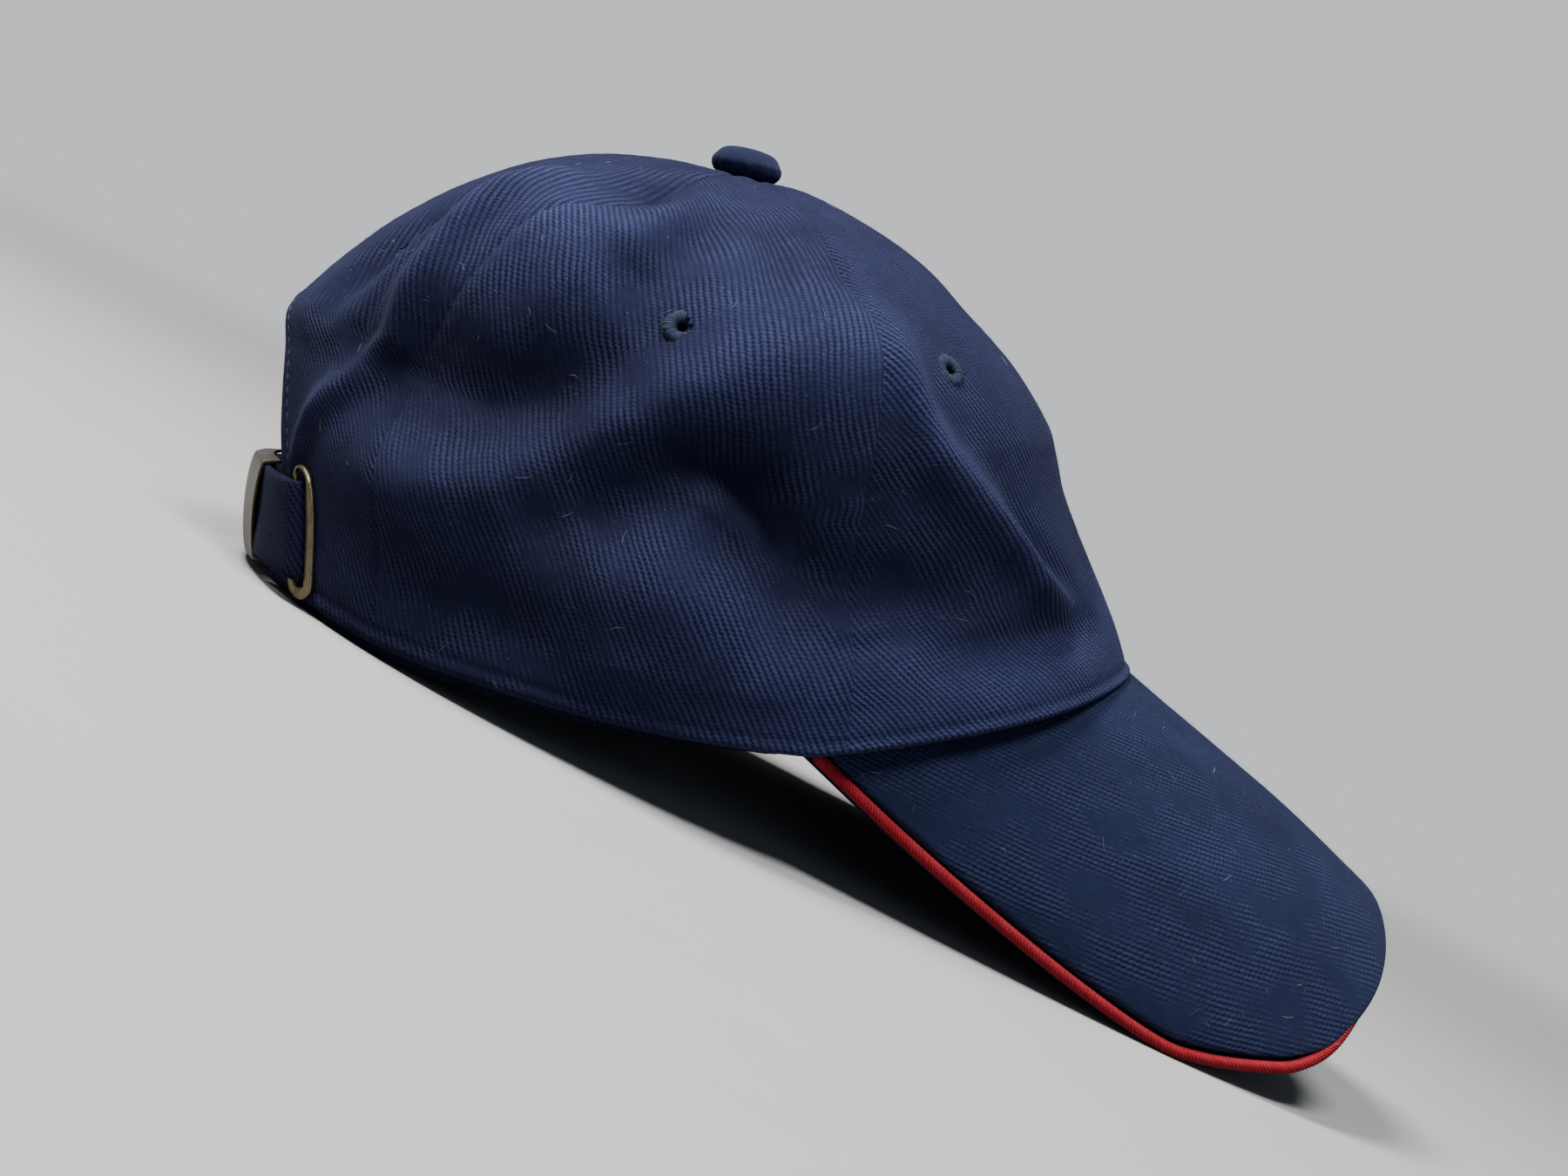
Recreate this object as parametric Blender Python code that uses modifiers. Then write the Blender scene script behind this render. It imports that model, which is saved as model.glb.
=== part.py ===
# Six-panel cap with a curved peak, lying on a surface by itself.
# Metres, +Z up. The peak points to -Y and the wearer's left is +X.
# The shape is drawn in the rim's frame, with the rim nearly level. The whole cap
# is then tipped to lie on the back of its rim and the flanks of its peak.

import math
from collections import namedtuple

import bmesh
import bpy
import numpy as np
from mathutils import Matrix, Vector

# Crown
HALF_WIDTH = 0.078
FRONT_REACH = 0.1043
BACK_REACH = 0.110
CROWN_HEIGHT = 0.1197
BUTTON_SETBACK = 0.0178
RIM_WAVE = 0.0043
FOLD_DEPTH = 0.010
CLOTH = 0.0012
SEAM_GAP = 0.0004
GAP = 0.0003

# Peak
CORNER_TURN = math.radians(77.7)
CORNER_BEND = math.radians(76.6)
PEAK_TILT = math.radians(23.5)
PEAK_LENGTH = 0.1446
PEAK_SAG = 0.0020
SAG_START = 0.66
PEAK_CLOTH = 0.0027
PEAK_GAP = 0.0005
UNDER_CLOTH = 0.0014
PIPING_RADIUS = 0.0014
ROOT_GAP = 0.0005

# Button, eyelets and sweatband
BUTTON_RADIUS = 0.0084
BUTTON_HEIGHT = 0.0066
BUTTON_TILT = math.radians(2.8)
BUTTON_SEAT = 0.0004
EYELET_RADIUS = 0.0040
EYELET_HOLE_RADIUS = 0.0011
EYELET_THICKNESS = 0.0019
BAND_CLOTH = 0.0010
BAND_GAP = 0.0012
BAND_HEIGHT = 0.030
BAND_DROP = 0.0016
BAND_RISE = 0.0018
BAND_STEP_TURN = math.radians(8)

# Back opening and strap
ARCH_HALF_WIDTH = 0.026
ARCH_HEIGHT = 0.061
STRAP_LEVEL = 0.0164
STRAP_WIDTH = 0.021
STRAP_CLOTH = 0.0014
STRAP_TUCK = 0.005
STRAP_RISE = 0.010

# Buckle and slot ring
BUCKLE_ACROSS = -0.006
BUCKLE_WIDTH = 0.030
BUCKLE_HEIGHT = 0.0230
BUCKLE_STAND = 0.0050
BUCKLE_DEPTH = 0.0068
BUCKLE_TIP = 0.0010
BUCKLE_SHEET = 0.0008
PIN_RADIUS = 0.0007
PIN_INSET = 0.003
RING_ACROSS = -0.0388
RING_HEIGHT = 0.0280
RING_LEAN = math.radians(10)
RING_WIDTH = 0.0070
RING_WIRE_RADIUS = 0.0009
SLOT_WIDTH = 0.0042
SLOT_HEIGHT = 0.0230
STRAP_END_DEPTH = 0.0008

# One row for each level of the crown, by its share of the way from rim to button.
# Places are shares of FRONT_REACH, HALF_WIDTH, BACK_REACH and BUTTON_SETBACK,
# and heights are shares of the way from the rim up to CROWN_HEIGHT.
CrownRow = namedtuple(
    "CrownRow", "share front front_height side side_height back back_height middle"
)
CROWN_ROWS = (
    CrownRow(0.00, 1.000, 0.000, 1.000, 0.000, 0.928, 0.000, 0.00),
    CrownRow(0.10, 0.911, 0.148, 1.025, 0.128, 0.938, 0.147, 0.00),
    CrownRow(0.20, 0.813, 0.294, 1.038, 0.265, 0.968, 0.297, 0.02),
    CrownRow(0.30, 0.719, 0.438, 1.026, 0.395, 0.988, 0.440, 0.06),
    CrownRow(0.35, 0.681, 0.518, 1.012, 0.460, 0.994, 0.506, 0.10),
    CrownRow(0.40, 0.640, 0.598, 0.993, 0.525, 0.958, 0.570, 0.14),
    CrownRow(0.50, 0.527, 0.720, 0.930, 0.650, 0.865, 0.694, 0.27),
    CrownRow(0.60, 0.398, 0.816, 0.820, 0.770, 0.755, 0.800, 0.42),
    CrownRow(0.70, 0.266, 0.910, 0.680, 0.860, 0.627, 0.890, 0.58),
    CrownRow(0.80, 0.123, 0.971, 0.506, 0.925, 0.482, 0.955, 0.74),
    CrownRow(0.90, -0.033, 1.006, 0.295, 0.975, 0.327, 0.988, 0.89),
    CrownRow(1.00, -0.133, 1.002, 0.050, 1.000, 0.197, 0.998, 1.00),
)

# Behind the peak the rim rises and falls by these shares of RIM_WAVE.
RimRow = namedtuple("RimRow", "degrees height")
RIM_ROWS = (
    RimRow(77.7, 1.00),
    RimRow(88.0, 0.37),
    RimRow(100.0, -0.20),
    RimRow(116.0, -0.40),
    RimRow(132.0, -0.33),
    RimRow(146.0, 0.20),
    RimRow(158.0, 0.50),
    RimRow(180.0, 0.15),
)

# Where the four seams of each side stand, in degrees from the front, by the share of
# the way up.
SeamRow = namedtuple("SeamRow", "share front front_side side_back back")
SEAM_ROWS = (
    SeamRow(0.00, 0, 74.0, 133.0, 180),
    SeamRow(0.20, 0, 73.2, 137.0, 180),
    SeamRow(0.40, 0, 71.6, 137.7, 180),
    SeamRow(0.55, 0, 69.8, 134.0, 180),
    SeamRow(0.70, 0, 71.0, 123.0, 180),
    SeamRow(0.85, 0, 68.0, 119.0, 180),
    SeamRow(1.00, 0, 62.0, 118.0, 180),
)

# Each eyelet's place in its panel, in degrees from the front and by the share of the
# way up.
EyeletRow = namedtuple("EyeletRow", "panel degrees share")
EYELET_ROWS = (
    EyeletRow("front", 50.8, 0.512),
    EyeletRow("side", 104.0, 0.525),
    EyeletRow("back", 159.0, 0.500),
)

# The peak's outline in the flat, as shares of PEAK_LENGTH and of the way from its
# ridge to its corner.
PeakRow = namedtuple("PeakRow", "forward side")
PEAK_ROWS = (
    PeakRow(0.000, 1.000),
    PeakRow(0.180, 1.020),
    PeakRow(0.350, 1.029),
    PeakRow(0.530, 1.029),
    PeakRow(0.690, 1.014),
    PeakRow(0.770, 0.978),
    PeakRow(0.860, 0.904),
    PeakRow(0.920, 0.834),
    PeakRow(0.965, 0.718),
    PeakRow(0.994, 0.496),
    PeakRow(1.000, 0.262),
    PeakRow(1.000, 0.000),
)

# Folds of the soft cloth. The rows of one fold are the places that its line passes.
# Turns are in degrees, above zero on the wearer's right. The width is a share of
# HALF_WIDTH and the depth one of FOLD_DEPTH, below zero for a hollow.
FoldRow = namedtuple("FoldRow", "fold turn share width depth")
FOLD_ROWS = (
    FoldRow("upper crest", 151, 0.51, 0.12, 0.16),
    FoldRow("upper crest", 146, 0.555, 0.15, 0.42),
    FoldRow("upper crest", 138, 0.56, 0.18, 0.60),
    FoldRow("upper crest", 130, 0.555, 0.19, 0.64),
    FoldRow("upper crest", 122, 0.555, 0.18, 0.62),
    FoldRow("upper crest", 116, 0.585, 0.14, 0.40),
    FoldRow("upper crest", 112, 0.65, 0.11, 0.22),
    FoldRow("upper crest", 109, 0.72, 0.11, 0.06),
    FoldRow("upper hollow", 152, 0.31, 0.12, -0.24),
    FoldRow("upper hollow", 146, 0.335, 0.16, -0.70),
    FoldRow("upper hollow", 139, 0.335, 0.18, -0.88),
    FoldRow("upper hollow", 131, 0.33, 0.18, -0.94),
    FoldRow("upper hollow", 124, 0.33, 0.18, -0.96),
    FoldRow("upper hollow", 117, 0.35, 0.17, -0.90),
    FoldRow("upper hollow", 111, 0.405, 0.15, -0.68),
    FoldRow("upper hollow", 107.5, 0.47, 0.12, -0.42),
    FoldRow("upper hollow", 107.5, 0.55, 0.11, -0.20),
    FoldRow("long ridge", 146, 0.20, 0.12, 0.08),
    FoldRow("long ridge", 137, 0.215, 0.12, 0.26),
    FoldRow("long ridge", 126, 0.225, 0.12, 0.46),
    FoldRow("long ridge", 121, 0.24, 0.12, 0.52),
    FoldRow("long ridge", 116, 0.28, 0.12, 0.54),
    FoldRow("long ridge", 111, 0.33, 0.13, 0.54),
    FoldRow("long ridge", 105, 0.40, 0.14, 0.52),
    FoldRow("long ridge", 98, 0.455, 0.16, 0.50),
    FoldRow("long ridge", 90, 0.49, 0.20, 0.48),
    FoldRow("long ridge", 81, 0.52, 0.23, 0.48),
    FoldRow("long ridge", 73, 0.52, 0.24, 0.48),
    FoldRow("long ridge", 64, 0.50, 0.20, 0.34),
    FoldRow("long ridge", 57, 0.48, 0.13, 0.12),
    FoldRow("valley", 119, 0.205, 0.11, -0.20),
    FoldRow("valley", 112, 0.235, 0.11, -0.46),
    FoldRow("valley", 107, 0.275, 0.11, -0.56),
    FoldRow("valley", 103, 0.315, 0.11, -0.60),
    FoldRow("valley", 98.5, 0.345, 0.11, -0.62),
    FoldRow("valley", 95, 0.355, 0.11, -0.64),
    FoldRow("valley", 91.5, 0.34, 0.11, -0.66),
    FoldRow("valley", 88, 0.305, 0.13, -0.66),
    FoldRow("valley", 82, 0.272, 0.17, -0.66),
    FoldRow("valley", 76, 0.255, 0.19, -0.66),
    FoldRow("valley", 69, 0.245, 0.19, -0.60),
    FoldRow("valley", 61, 0.225, 0.17, -0.40),
    FoldRow("valley", 54, 0.20, 0.12, -0.16),
    FoldRow("bulge", 113, 0.18, 0.11, 0.18),
    FoldRow("bulge", 105, 0.19, 0.12, 0.38),
    FoldRow("bulge", 98, 0.20, 0.15, 0.48),
    FoldRow("bulge", 92, 0.17, 0.15, 0.42),
    FoldRow("bulge", 86, 0.115, 0.12, 0.24),
    FoldRow("bulge", 80, 0.06, 0.11, 0.10),
    FoldRow("low hollow", 126, 0.13, 0.12, -0.10),
    FoldRow("low hollow", 114, 0.13, 0.13, -0.16),
    FoldRow("low hollow", 102, 0.11, 0.11, -0.08),
    FoldRow("front ridge", 59, 0.60, 0.09, 0.04),
    FoldRow("front ridge", 59.5, 0.52, 0.09, 0.12),
    FoldRow("front ridge", 58, 0.45, 0.09, 0.19),
    FoldRow("front ridge", 54.5, 0.39, 0.09, 0.25),
    FoldRow("front ridge", 50, 0.345, 0.09, 0.28),
    FoldRow("front ridge", 45.5, 0.30, 0.09, 0.29),
    FoldRow("front ridge", 41.5, 0.25, 0.09, 0.28),
    FoldRow("front ridge", 36.5, 0.20, 0.09, 0.22),
    FoldRow("front ridge", 30, 0.15, 0.09, 0.08),
    FoldRow("left ridge", -136, 0.25, 0.16, 0.06),
    FoldRow("left ridge", -117, 0.31, 0.17, 0.24),
    FoldRow("left ridge", -103, 0.44, 0.18, 0.20),
    FoldRow("left hollow", -133, 0.44, 0.19, -0.30),
    FoldRow("left hollow", -115, 0.50, 0.18, -0.18),
    FoldRow("left valley", -97, 0.36, 0.13, -0.30),
    FoldRow("left valley", -84, 0.27, 0.14, -0.34),
    FoldRow("left valley", -66, 0.29, 0.16, -0.18),
    FoldRow("left front ridge", -58, 0.50, 0.10, 0.12),
    FoldRow("left front ridge", -45, 0.31, 0.10, 0.22),
    FoldRow("left back ridge", -150, 0.62, 0.08, 0.14),
    FoldRow("left back ridge", -152, 0.42, 0.08, 0.14),
    FoldRow("back ridge", 149, 0.69, 0.08, 0.10),
    FoldRow("back ridge", 149, 0.52, 0.08, 0.20),
    FoldRow("back ridge", 150, 0.39, 0.07, 0.14),
)
HEM_SHARE = 0.08

# The button's outline, as shares of BUTTON_RADIUS and BUTTON_HEIGHT.
ButtonRow = namedtuple("ButtonRow", "radius height")
BUTTON_ROWS = (
    ButtonRow(0.00, 1.00),
    ButtonRow(0.36, 0.985),
    ButtonRow(0.66, 0.91),
    ButtonRow(0.87, 0.74),
    ButtonRow(0.98, 0.50),
    ButtonRow(1.00, 0.32),
    ButtonRow(0.93, 0.12),
    ButtonRow(0.76, 0.00),
    ButtonRow(0.00, 0.00),
)

# The buckle's section, as shares of half BUCKLE_HEIGHT and of BUCKLE_DEPTH.
BuckleRow = namedtuple("BuckleRow", "height depth")
BUCKLE_ROWS = (
    BuckleRow(-1.00, 1.00),
    BuckleRow(-1.00, 0.30),
    BuckleRow(-0.95, 0.20),
    BuckleRow(-0.55, 0.06),
    BuckleRow(0.00, 0.00),
    BuckleRow(0.55, 0.10),
    BuckleRow(0.95, 0.31),
    BuckleRow(1.00, 0.41),
    BuckleRow(1.00, 1.00),
)

TIP_START = 0.64

PANEL_ACROSS = 13
PANEL_UP = 15
PEAK_COLUMNS = 22
PEAK_ROWS_ALONG = 9

NAVY = (0.022, 0.028, 0.075)
DARK_NAVY = (0.012, 0.015, 0.045)
RED = (0.55, 0.018, 0.035)
STEEL = (0.62, 0.60, 0.55)
BRASS = (0.36, 0.27, 0.12)


def read_rows(rows, key, column, at):
    """A smooth curve through one column of a table, read at a value of its key."""
    keys = [getattr(row, key) for row in rows]
    values = [getattr(row, column) for row in rows]
    at = min(max(at, keys[0]), keys[-1])
    i = min(max(int(np.searchsorted(keys, at)) - 1, 0), len(keys) - 2)

    def slope(k):
        low, high = max(k - 1, 0), min(k + 1, len(keys) - 1)
        return (values[high] - values[low]) / (keys[high] - keys[low])

    span = keys[i + 1] - keys[i]
    t = (at - keys[i]) / span
    rise = t * t * (3 - 2 * t)
    bend = slope(i) * t * (1 - t) ** 2 - slope(i + 1) * t * t * (1 - t)
    return values[i] + (values[i + 1] - values[i]) * rise + span * bend


# The crown's form. turn is the way round from the front, above zero on the wearer's
# right, and share is the way up from the rim to the button.


def rim_plan(turn):
    """The rim seen from above."""
    reach = FRONT_REACH if math.cos(turn) > 0 else BACK_REACH * CROWN_ROWS[0].back
    return -HALF_WIDTH * math.sin(turn), -reach * math.cos(turn)


def rim_height(turn):
    """The rim lies on the peak between its corners and has a slight wave behind them."""
    turn = abs(turn)
    if turn < CORNER_TURN:
        across, along = root_place(turn)
        return peak_point(across, along).z
    return RIM_WAVE * read_rows(RIM_ROWS, "degrees", "height", math.degrees(turn))


def crown_form(turn, share):
    """A point of the crown's outer form without its folds."""

    def row(column):
        return read_rows(CROWN_ROWS, "share", column, share)

    forward, sideways = math.cos(turn), math.sin(turn)
    middle = BUTTON_SETBACK * row("middle")
    if forward > 0:
        end, end_height = -FRONT_REACH * row("front"), row("front_height")
    else:
        end, end_height = BACK_REACH * row("back"), row("back_height")
    rim = rim_height(turn)
    rise = end_height * forward**2 + row("side_height") * sideways**2
    return Vector(
        (
            -HALF_WIDTH * row("side") * sideways,
            middle + (end - middle) * abs(forward),
            rim + (CROWN_HEIGHT - rim) * rise,
        )
    )


def form_normal(turn, share):
    """The direction out of the crown's form."""
    step = 0.004
    around = crown_form(turn + step, share) - crown_form(turn - step, share)
    upward = crown_form(turn, min(share + step, 1)) - crown_form(turn, max(share - step, 0))
    return upward.cross(around).normalized()


def fold_height(turn, share):
    """How far the folds lift the cloth here."""
    radius = HALF_WIDTH * read_rows(CROWN_ROWS, "share", "side", share)
    here = np.array((turn * radius, share * 2 * HALF_WIDTH))
    folds = {}
    for row, after in zip(FOLD_ROWS, FOLD_ROWS[1:]):
        if row.fold != after.fold:
            continue
        start = np.array((math.radians(row.turn) * radius, row.share * 2 * HALF_WIDTH))
        end = np.array((math.radians(after.turn) * radius, after.share * 2 * HALF_WIDTH))
        run = end - start
        along = min(max((here - start) @ run / (run @ run), 0), 1)
        width = HALF_WIDTH * (row.width + (after.width - row.width) * along)
        depth = FOLD_DEPTH * (row.depth + (after.depth - row.depth) * along)
        off = np.linalg.norm(here - start - run * along) / width
        folds.setdefault(row.fold, []).append((off * off, depth))
    height = 0
    for places in folds.values():
        nearest = min(off for off, _ in places)
        weights = [math.exp(-4 * (off - nearest)) for off, _ in places]
        depth = sum(depth * weight for (_, depth), weight in zip(places, weights))
        height += depth / sum(weights) * math.exp(-nearest)
    return height * min(1, share / HEM_SHARE, (1 - share) / HEM_SHARE)


def crown_point(turn, share, inset=0.0):
    """A point of the crown with its folds, inset from the outer face."""
    lift = fold_height(turn, share) - inset
    return crown_form(turn, share) + form_normal(turn, share) * lift


def seam_turn(seam, share):
    return math.radians(read_rows(SEAM_ROWS, "share", seam, share))


def share_at(turn, level):
    """The share of the way up the crown where it reaches a level."""
    low, high = 0.0, 1.0
    for _ in range(20):
        middle = (low + high) / 2
        low, high = (middle, high) if crown_form(turn, middle).z < level else (low, middle)
    return (low + high) / 2


def back_place(across, level):
    """Turn and share of the place on the crown's back at this x and this height."""
    share = level / CROWN_HEIGHT
    for _ in range(3):
        half = HALF_WIDTH * read_rows(CROWN_ROWS, "share", "side", share)
        turn = math.copysign(math.pi - math.asin(abs(across) / half), -across)
        share = share_at(turn, level)
    return turn, share


def back_point(across, level, lift):
    """A point that far out from the back of the crown's form."""
    turn, share = back_place(across, level)
    return crown_form(turn, share) + form_normal(turn, share) * lift


def wall_matrix(turn, share, lift):
    """A place on the crown's form with X level, Y up the wall and Z out of it."""
    outward = form_normal(turn, share)
    level = Vector((0, 0, 1)).cross(outward).normalized()
    axes = Matrix((level, outward.cross(level), outward)).transposed().to_4x4()
    return Matrix.Translation(crown_form(turn, share) + outward * lift) @ axes


# The peak is one sheet bent round a tilted cylinder, and it sags towards its tip.
# across is the way round the cylinder from its ridge and along the way forward on the
# sheet.
PEAK_AXIS = Vector((0, -math.cos(PEAK_TILT), -math.sin(PEAK_TILT)))
PEAK_UP = Vector((0, -math.sin(PEAK_TILT), math.cos(PEAK_TILT)))
CORNER_X, CORNER_Y = HALF_WIDTH * math.sin(CORNER_TURN), -FRONT_REACH * math.cos(CORNER_TURN)
BEND_RADIUS = CORNER_X / math.sin(CORNER_BEND)
CORNER_LEVEL = Vector((0, CORNER_Y, RIM_WAVE * RIM_ROWS[0].height)).dot(PEAK_UP)
CORNER_ALONG = (-CORNER_Y - CORNER_LEVEL * math.sin(PEAK_TILT)) / math.cos(PEAK_TILT)
RIDGE_LEVEL = CORNER_LEVEL + BEND_RADIUS * (1 - math.cos(CORNER_BEND))


def peak_point(across, along, depth=0.0):
    """A point of the peak's sheet, or that depth below it."""
    bend = across / BEND_RADIUS
    radius = BEND_RADIUS - depth
    past = max((along - CORNER_ALONG) / PEAK_LENGTH - SAG_START, 0) / (1 - SAG_START)
    level = RIDGE_LEVEL - BEND_RADIUS + radius * math.cos(bend) - PEAK_SAG * past**2
    return Vector((radius * math.sin(bend), 0, 0)) + PEAK_UP * level + PEAK_AXIS * along


def root_along(across):
    """How far along the sheet it meets the crown's rim."""
    x = BEND_RADIUS * math.sin(across / BEND_RADIUS)
    y = -FRONT_REACH * math.sqrt(max(1 - (x / HALF_WIDTH) ** 2, 0))
    level = RIDGE_LEVEL - BEND_RADIUS * (1 - math.cos(across / BEND_RADIUS))
    return (-y - level * math.sin(PEAK_TILT)) / math.cos(PEAK_TILT)


def root_place(turn):
    across = BEND_RADIUS * math.asin(rim_plan(turn)[0] / BEND_RADIUS)
    return across, root_along(across)


def even_points(points, count):
    """Points at even steps along a line of points."""
    points = np.array(points)
    steps = np.linalg.norm(np.diff(points, axis=0), axis=1)
    lengths = np.concatenate([[0], np.cumsum(steps)])
    at = np.linspace(0, lengths[-1], count)
    return np.stack([np.interp(at, lengths, column) for column in points.T], axis=1)


def peak_edge(inset):
    """Half of the peak's outline in the flat, from its root to the middle of its tip."""
    numbered = namedtuple("NumberedRow", "place forward side")
    rows = [numbered(place, *row) for place, row in enumerate(PEAK_ROWS)]
    corner_across = BEND_RADIUS * CORNER_BEND
    edge = np.array(
        [
            (
                corner_across * read_rows(rows, "place", "side", place),
                CORNER_ALONG + PEAK_LENGTH * read_rows(rows, "place", "forward", place),
            )
            for place in np.linspace(0, len(rows) - 1, 200)
        ]
    )
    heading = np.gradient(edge, axis=0)
    heading /= np.linalg.norm(heading, axis=1)[:, None]
    edge += inset * np.stack([-heading[:, 1], heading[:, 0]], axis=1)
    return [point for point in edge if point[1] > root_along(point[0]) + ROOT_GAP]


def peak_patch(inset, columns, rows):
    """Places across and along the peak, by column and row, filling its outline."""
    edge = even_points(peak_edge(inset), 101)
    split = round(100 * TIP_START)
    side = even_points(edge[: split + 1], rows + 1)
    half_tip = even_points(edge[split:], columns // 2 + 1)
    tip = np.concatenate([half_tip, half_tip[-2::-1] * (-1, 1)])

    def place(column, row):
        u, w = column / columns, row / rows
        across = side[0][0] * (1 - 2 * u)
        root = np.array((across, root_along(across) + ROOT_GAP))
        left, right = side[row], side[row] * (-1, 1)
        corners = (1 - w) * ((1 - u) * side[0] + u * side[0] * (-1, 1))
        corners += w * ((1 - u) * tip[0] + u * tip[-1])
        return (1 - w) * root + w * tip[column] + (1 - u) * left + u * right - corners

    return place


def make_material(name, colour, roughness, metallic):
    made = bpy.data.materials.new(name)
    made.use_nodes = True
    shader = made.node_tree.nodes["Principled BSDF"]
    shader.inputs["Base Color"].default_value = (*colour, 1)
    shader.inputs["Roughness"].default_value = roughness
    shader.inputs["Metallic"].default_value = metallic
    return made


def add_object(name, shape, group, frame, colour, roughness=0.9, metallic=0.0):
    """An object made of a bmesh, a mesh or a curve, in a collection and under the frame."""
    data = shape
    if isinstance(shape, bmesh.types.BMesh):
        data = bpy.data.meshes.new(name)
        shape.to_mesh(data)
        shape.free()
    made = bpy.data.objects.new(name, data)
    data.materials.append(make_material(name, colour, roughness, metallic))
    made.parent = frame
    group.objects.link(made)
    return made


def shaped_grid(across, up, place):
    """A grid bent to a form. place takes the shares across and up it."""
    sheet = bmesh.new()
    bmesh.ops.create_grid(sheet, x_segments=across, y_segments=up, size=0.5)
    for vertex in sheet.verts:
        vertex.co = place(vertex.co.x + 0.5, vertex.co.y + 0.5)
    return sheet


def thicken(made, thickness):
    """Gives an open sheet its wall, inward from its outer face."""
    wall = made.modifiers.new("wall", "SOLIDIFY")
    wall.thickness = thickness
    wall.offset = -1
    wall.use_even_offset = True
    made.data.shade_smooth()
    made.data.set_sharp_from_angle(angle=math.radians(50))


def add_tube(name, points, radius, cyclic, group, frame, colour, roughness=0.9, metallic=0.0):
    curve = bpy.data.curves.new(name, "CURVE")
    curve.dimensions = "3D"
    spline = curve.splines.new("POLY")
    spline.points.add(len(points) - 1)
    for target, point in zip(spline.points, points):
        target.co = (*point, 1)
    spline.use_cyclic_u = cyclic
    curve.bevel_depth = radius
    curve.bevel_resolution = 2
    curve.use_fill_caps = not cyclic
    return add_object(name, curve, group, frame, colour, roughness, metallic)


def cut(made, cutter):
    boolean = made.modifiers.new(cutter.name, "BOOLEAN")
    boolean.operation = "DIFFERENCE"
    boolean.object = cutter


def add_cutter(name, shape, place, group, frame):
    made = add_object(name, shape, group, frame, RED)
    made.matrix_local = place
    made.hide_render = True
    made.display_type = "WIRE"
    return made


def cylinder(radius, depth, sides):
    shape = bmesh.new()
    bmesh.ops.create_cone(
        shape, cap_ends=True, segments=sides, radius1=radius, radius2=radius, depth=depth
    )
    return shape


def add_panel(name, right, first, last, group, frame):
    """One of the six panels, between two seams on one side of the cap."""

    def place(across, up):
        start, end = seam_turn(first, up), seam_turn(last, up)
        width = (crown_form(start, up) - crown_form(end, up)).length
        margin = SEAM_GAP / 2 / width
        along = margin + across * (1 - 2 * margin)
        if right:
            return crown_point(end + (start - end) * along, up)
        return crown_point(-start - (end - start) * along, up)

    made = add_object(
        name, shaped_grid(PANEL_ACROSS, PANEL_UP, place), group, frame, NAVY
    )
    thicken(made, CLOTH)
    return made


def add_eyelet(row, side, right, panel, group, cutters, frame):
    """A sewn ring in a round hole in its panel."""
    side_name = f"{row.panel}_{side}"
    turn = math.radians(row.degrees if right else -row.degrees)
    place = wall_matrix(turn, row.share, fold_height(turn, row.share) - CLOTH / 2)
    hole = add_cutter(
        "hole_" + side_name, cylinder(EYELET_RADIUS + GAP, 8 * CLOTH, 16), place, cutters, frame
    )
    cut(panel, hole)
    wire = (EYELET_RADIUS - EYELET_HOLE_RADIUS) / 2
    bpy.ops.mesh.primitive_torus_add(
        major_radius=EYELET_RADIUS - wire, minor_radius=wire, major_segments=14, minor_segments=6
    )
    ring = bpy.context.object
    mesh = ring.data
    bpy.data.objects.remove(ring)
    mesh.transform(Matrix.Diagonal((1, 1, EYELET_THICKNESS / (2 * wire), 1)))
    mesh.shade_smooth()
    made = add_object("eyelet_" + side_name, mesh, group, frame, DARK_NAVY)
    made.matrix_local = place


def add_crown(group, cutters, frame):
    arch_shape = cylinder(ARCH_HALF_WIDTH, BACK_REACH, 40)
    stretch = Matrix.Diagonal((1, ARCH_HEIGHT / ARCH_HALF_WIDTH, 1, 1))
    bmesh.ops.transform(arch_shape, matrix=stretch, verts=arch_shape.verts)
    place = Matrix.Translation((0, BACK_REACH, 0)) @ Matrix.Rotation(math.pi / 2, 4, "X")
    arch = add_cutter("arch", arch_shape, place, cutters, frame)
    seams = SeamRow._fields[1:]
    for side, right in (("left", False), ("right", True)):
        for row, first, last in zip(EYELET_ROWS, seams, seams[1:]):
            panel = add_panel(f"{row.panel}_panel_{side}", right, first, last, group, frame)
            if row.panel == "back":
                cut(panel, arch)
            if row.panel == "back" and right:
                turn, share = back_place(RING_ACROSS, STRAP_LEVEL)
                slot_shape = bmesh.new()
                bmesh.ops.create_cube(
                    slot_shape, size=1, matrix=Matrix.Diagonal((SLOT_WIDTH, SLOT_HEIGHT, 8 * CLOTH, 1))
                )
                place = wall_matrix(turn, share, -CLOTH / 2) @ Matrix.Rotation(RING_LEAN, 4, "Z")
                cut(panel, add_cutter("slot", slot_shape, place, cutters, frame))
            add_eyelet(row, side, right, panel, group, cutters, frame)


def add_button(group, frame):
    """A cloth-covered button, turned from its outline."""
    mesh = bpy.data.meshes.new("top_button")
    points = [(BUTTON_RADIUS * row.radius, 0, BUTTON_HEIGHT * row.height) for row in BUTTON_ROWS]
    mesh.from_pydata(points, [(i, i + 1) for i in range(len(points) - 1)], [])
    made = add_object("top_button", mesh, group, frame, NAVY)
    turned = made.modifiers.new("turned", "SCREW")
    turned.steps = turned.render_steps = 24
    turned.use_merge_vertices = True
    turned.merge_threshold = 0.00001
    turned.use_smooth_shade = True
    made.location = (0, BUTTON_SETBACK, CROWN_HEIGHT + BUTTON_SEAT)
    made.rotation_euler = (-BUTTON_TILT, 0, 0)


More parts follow.
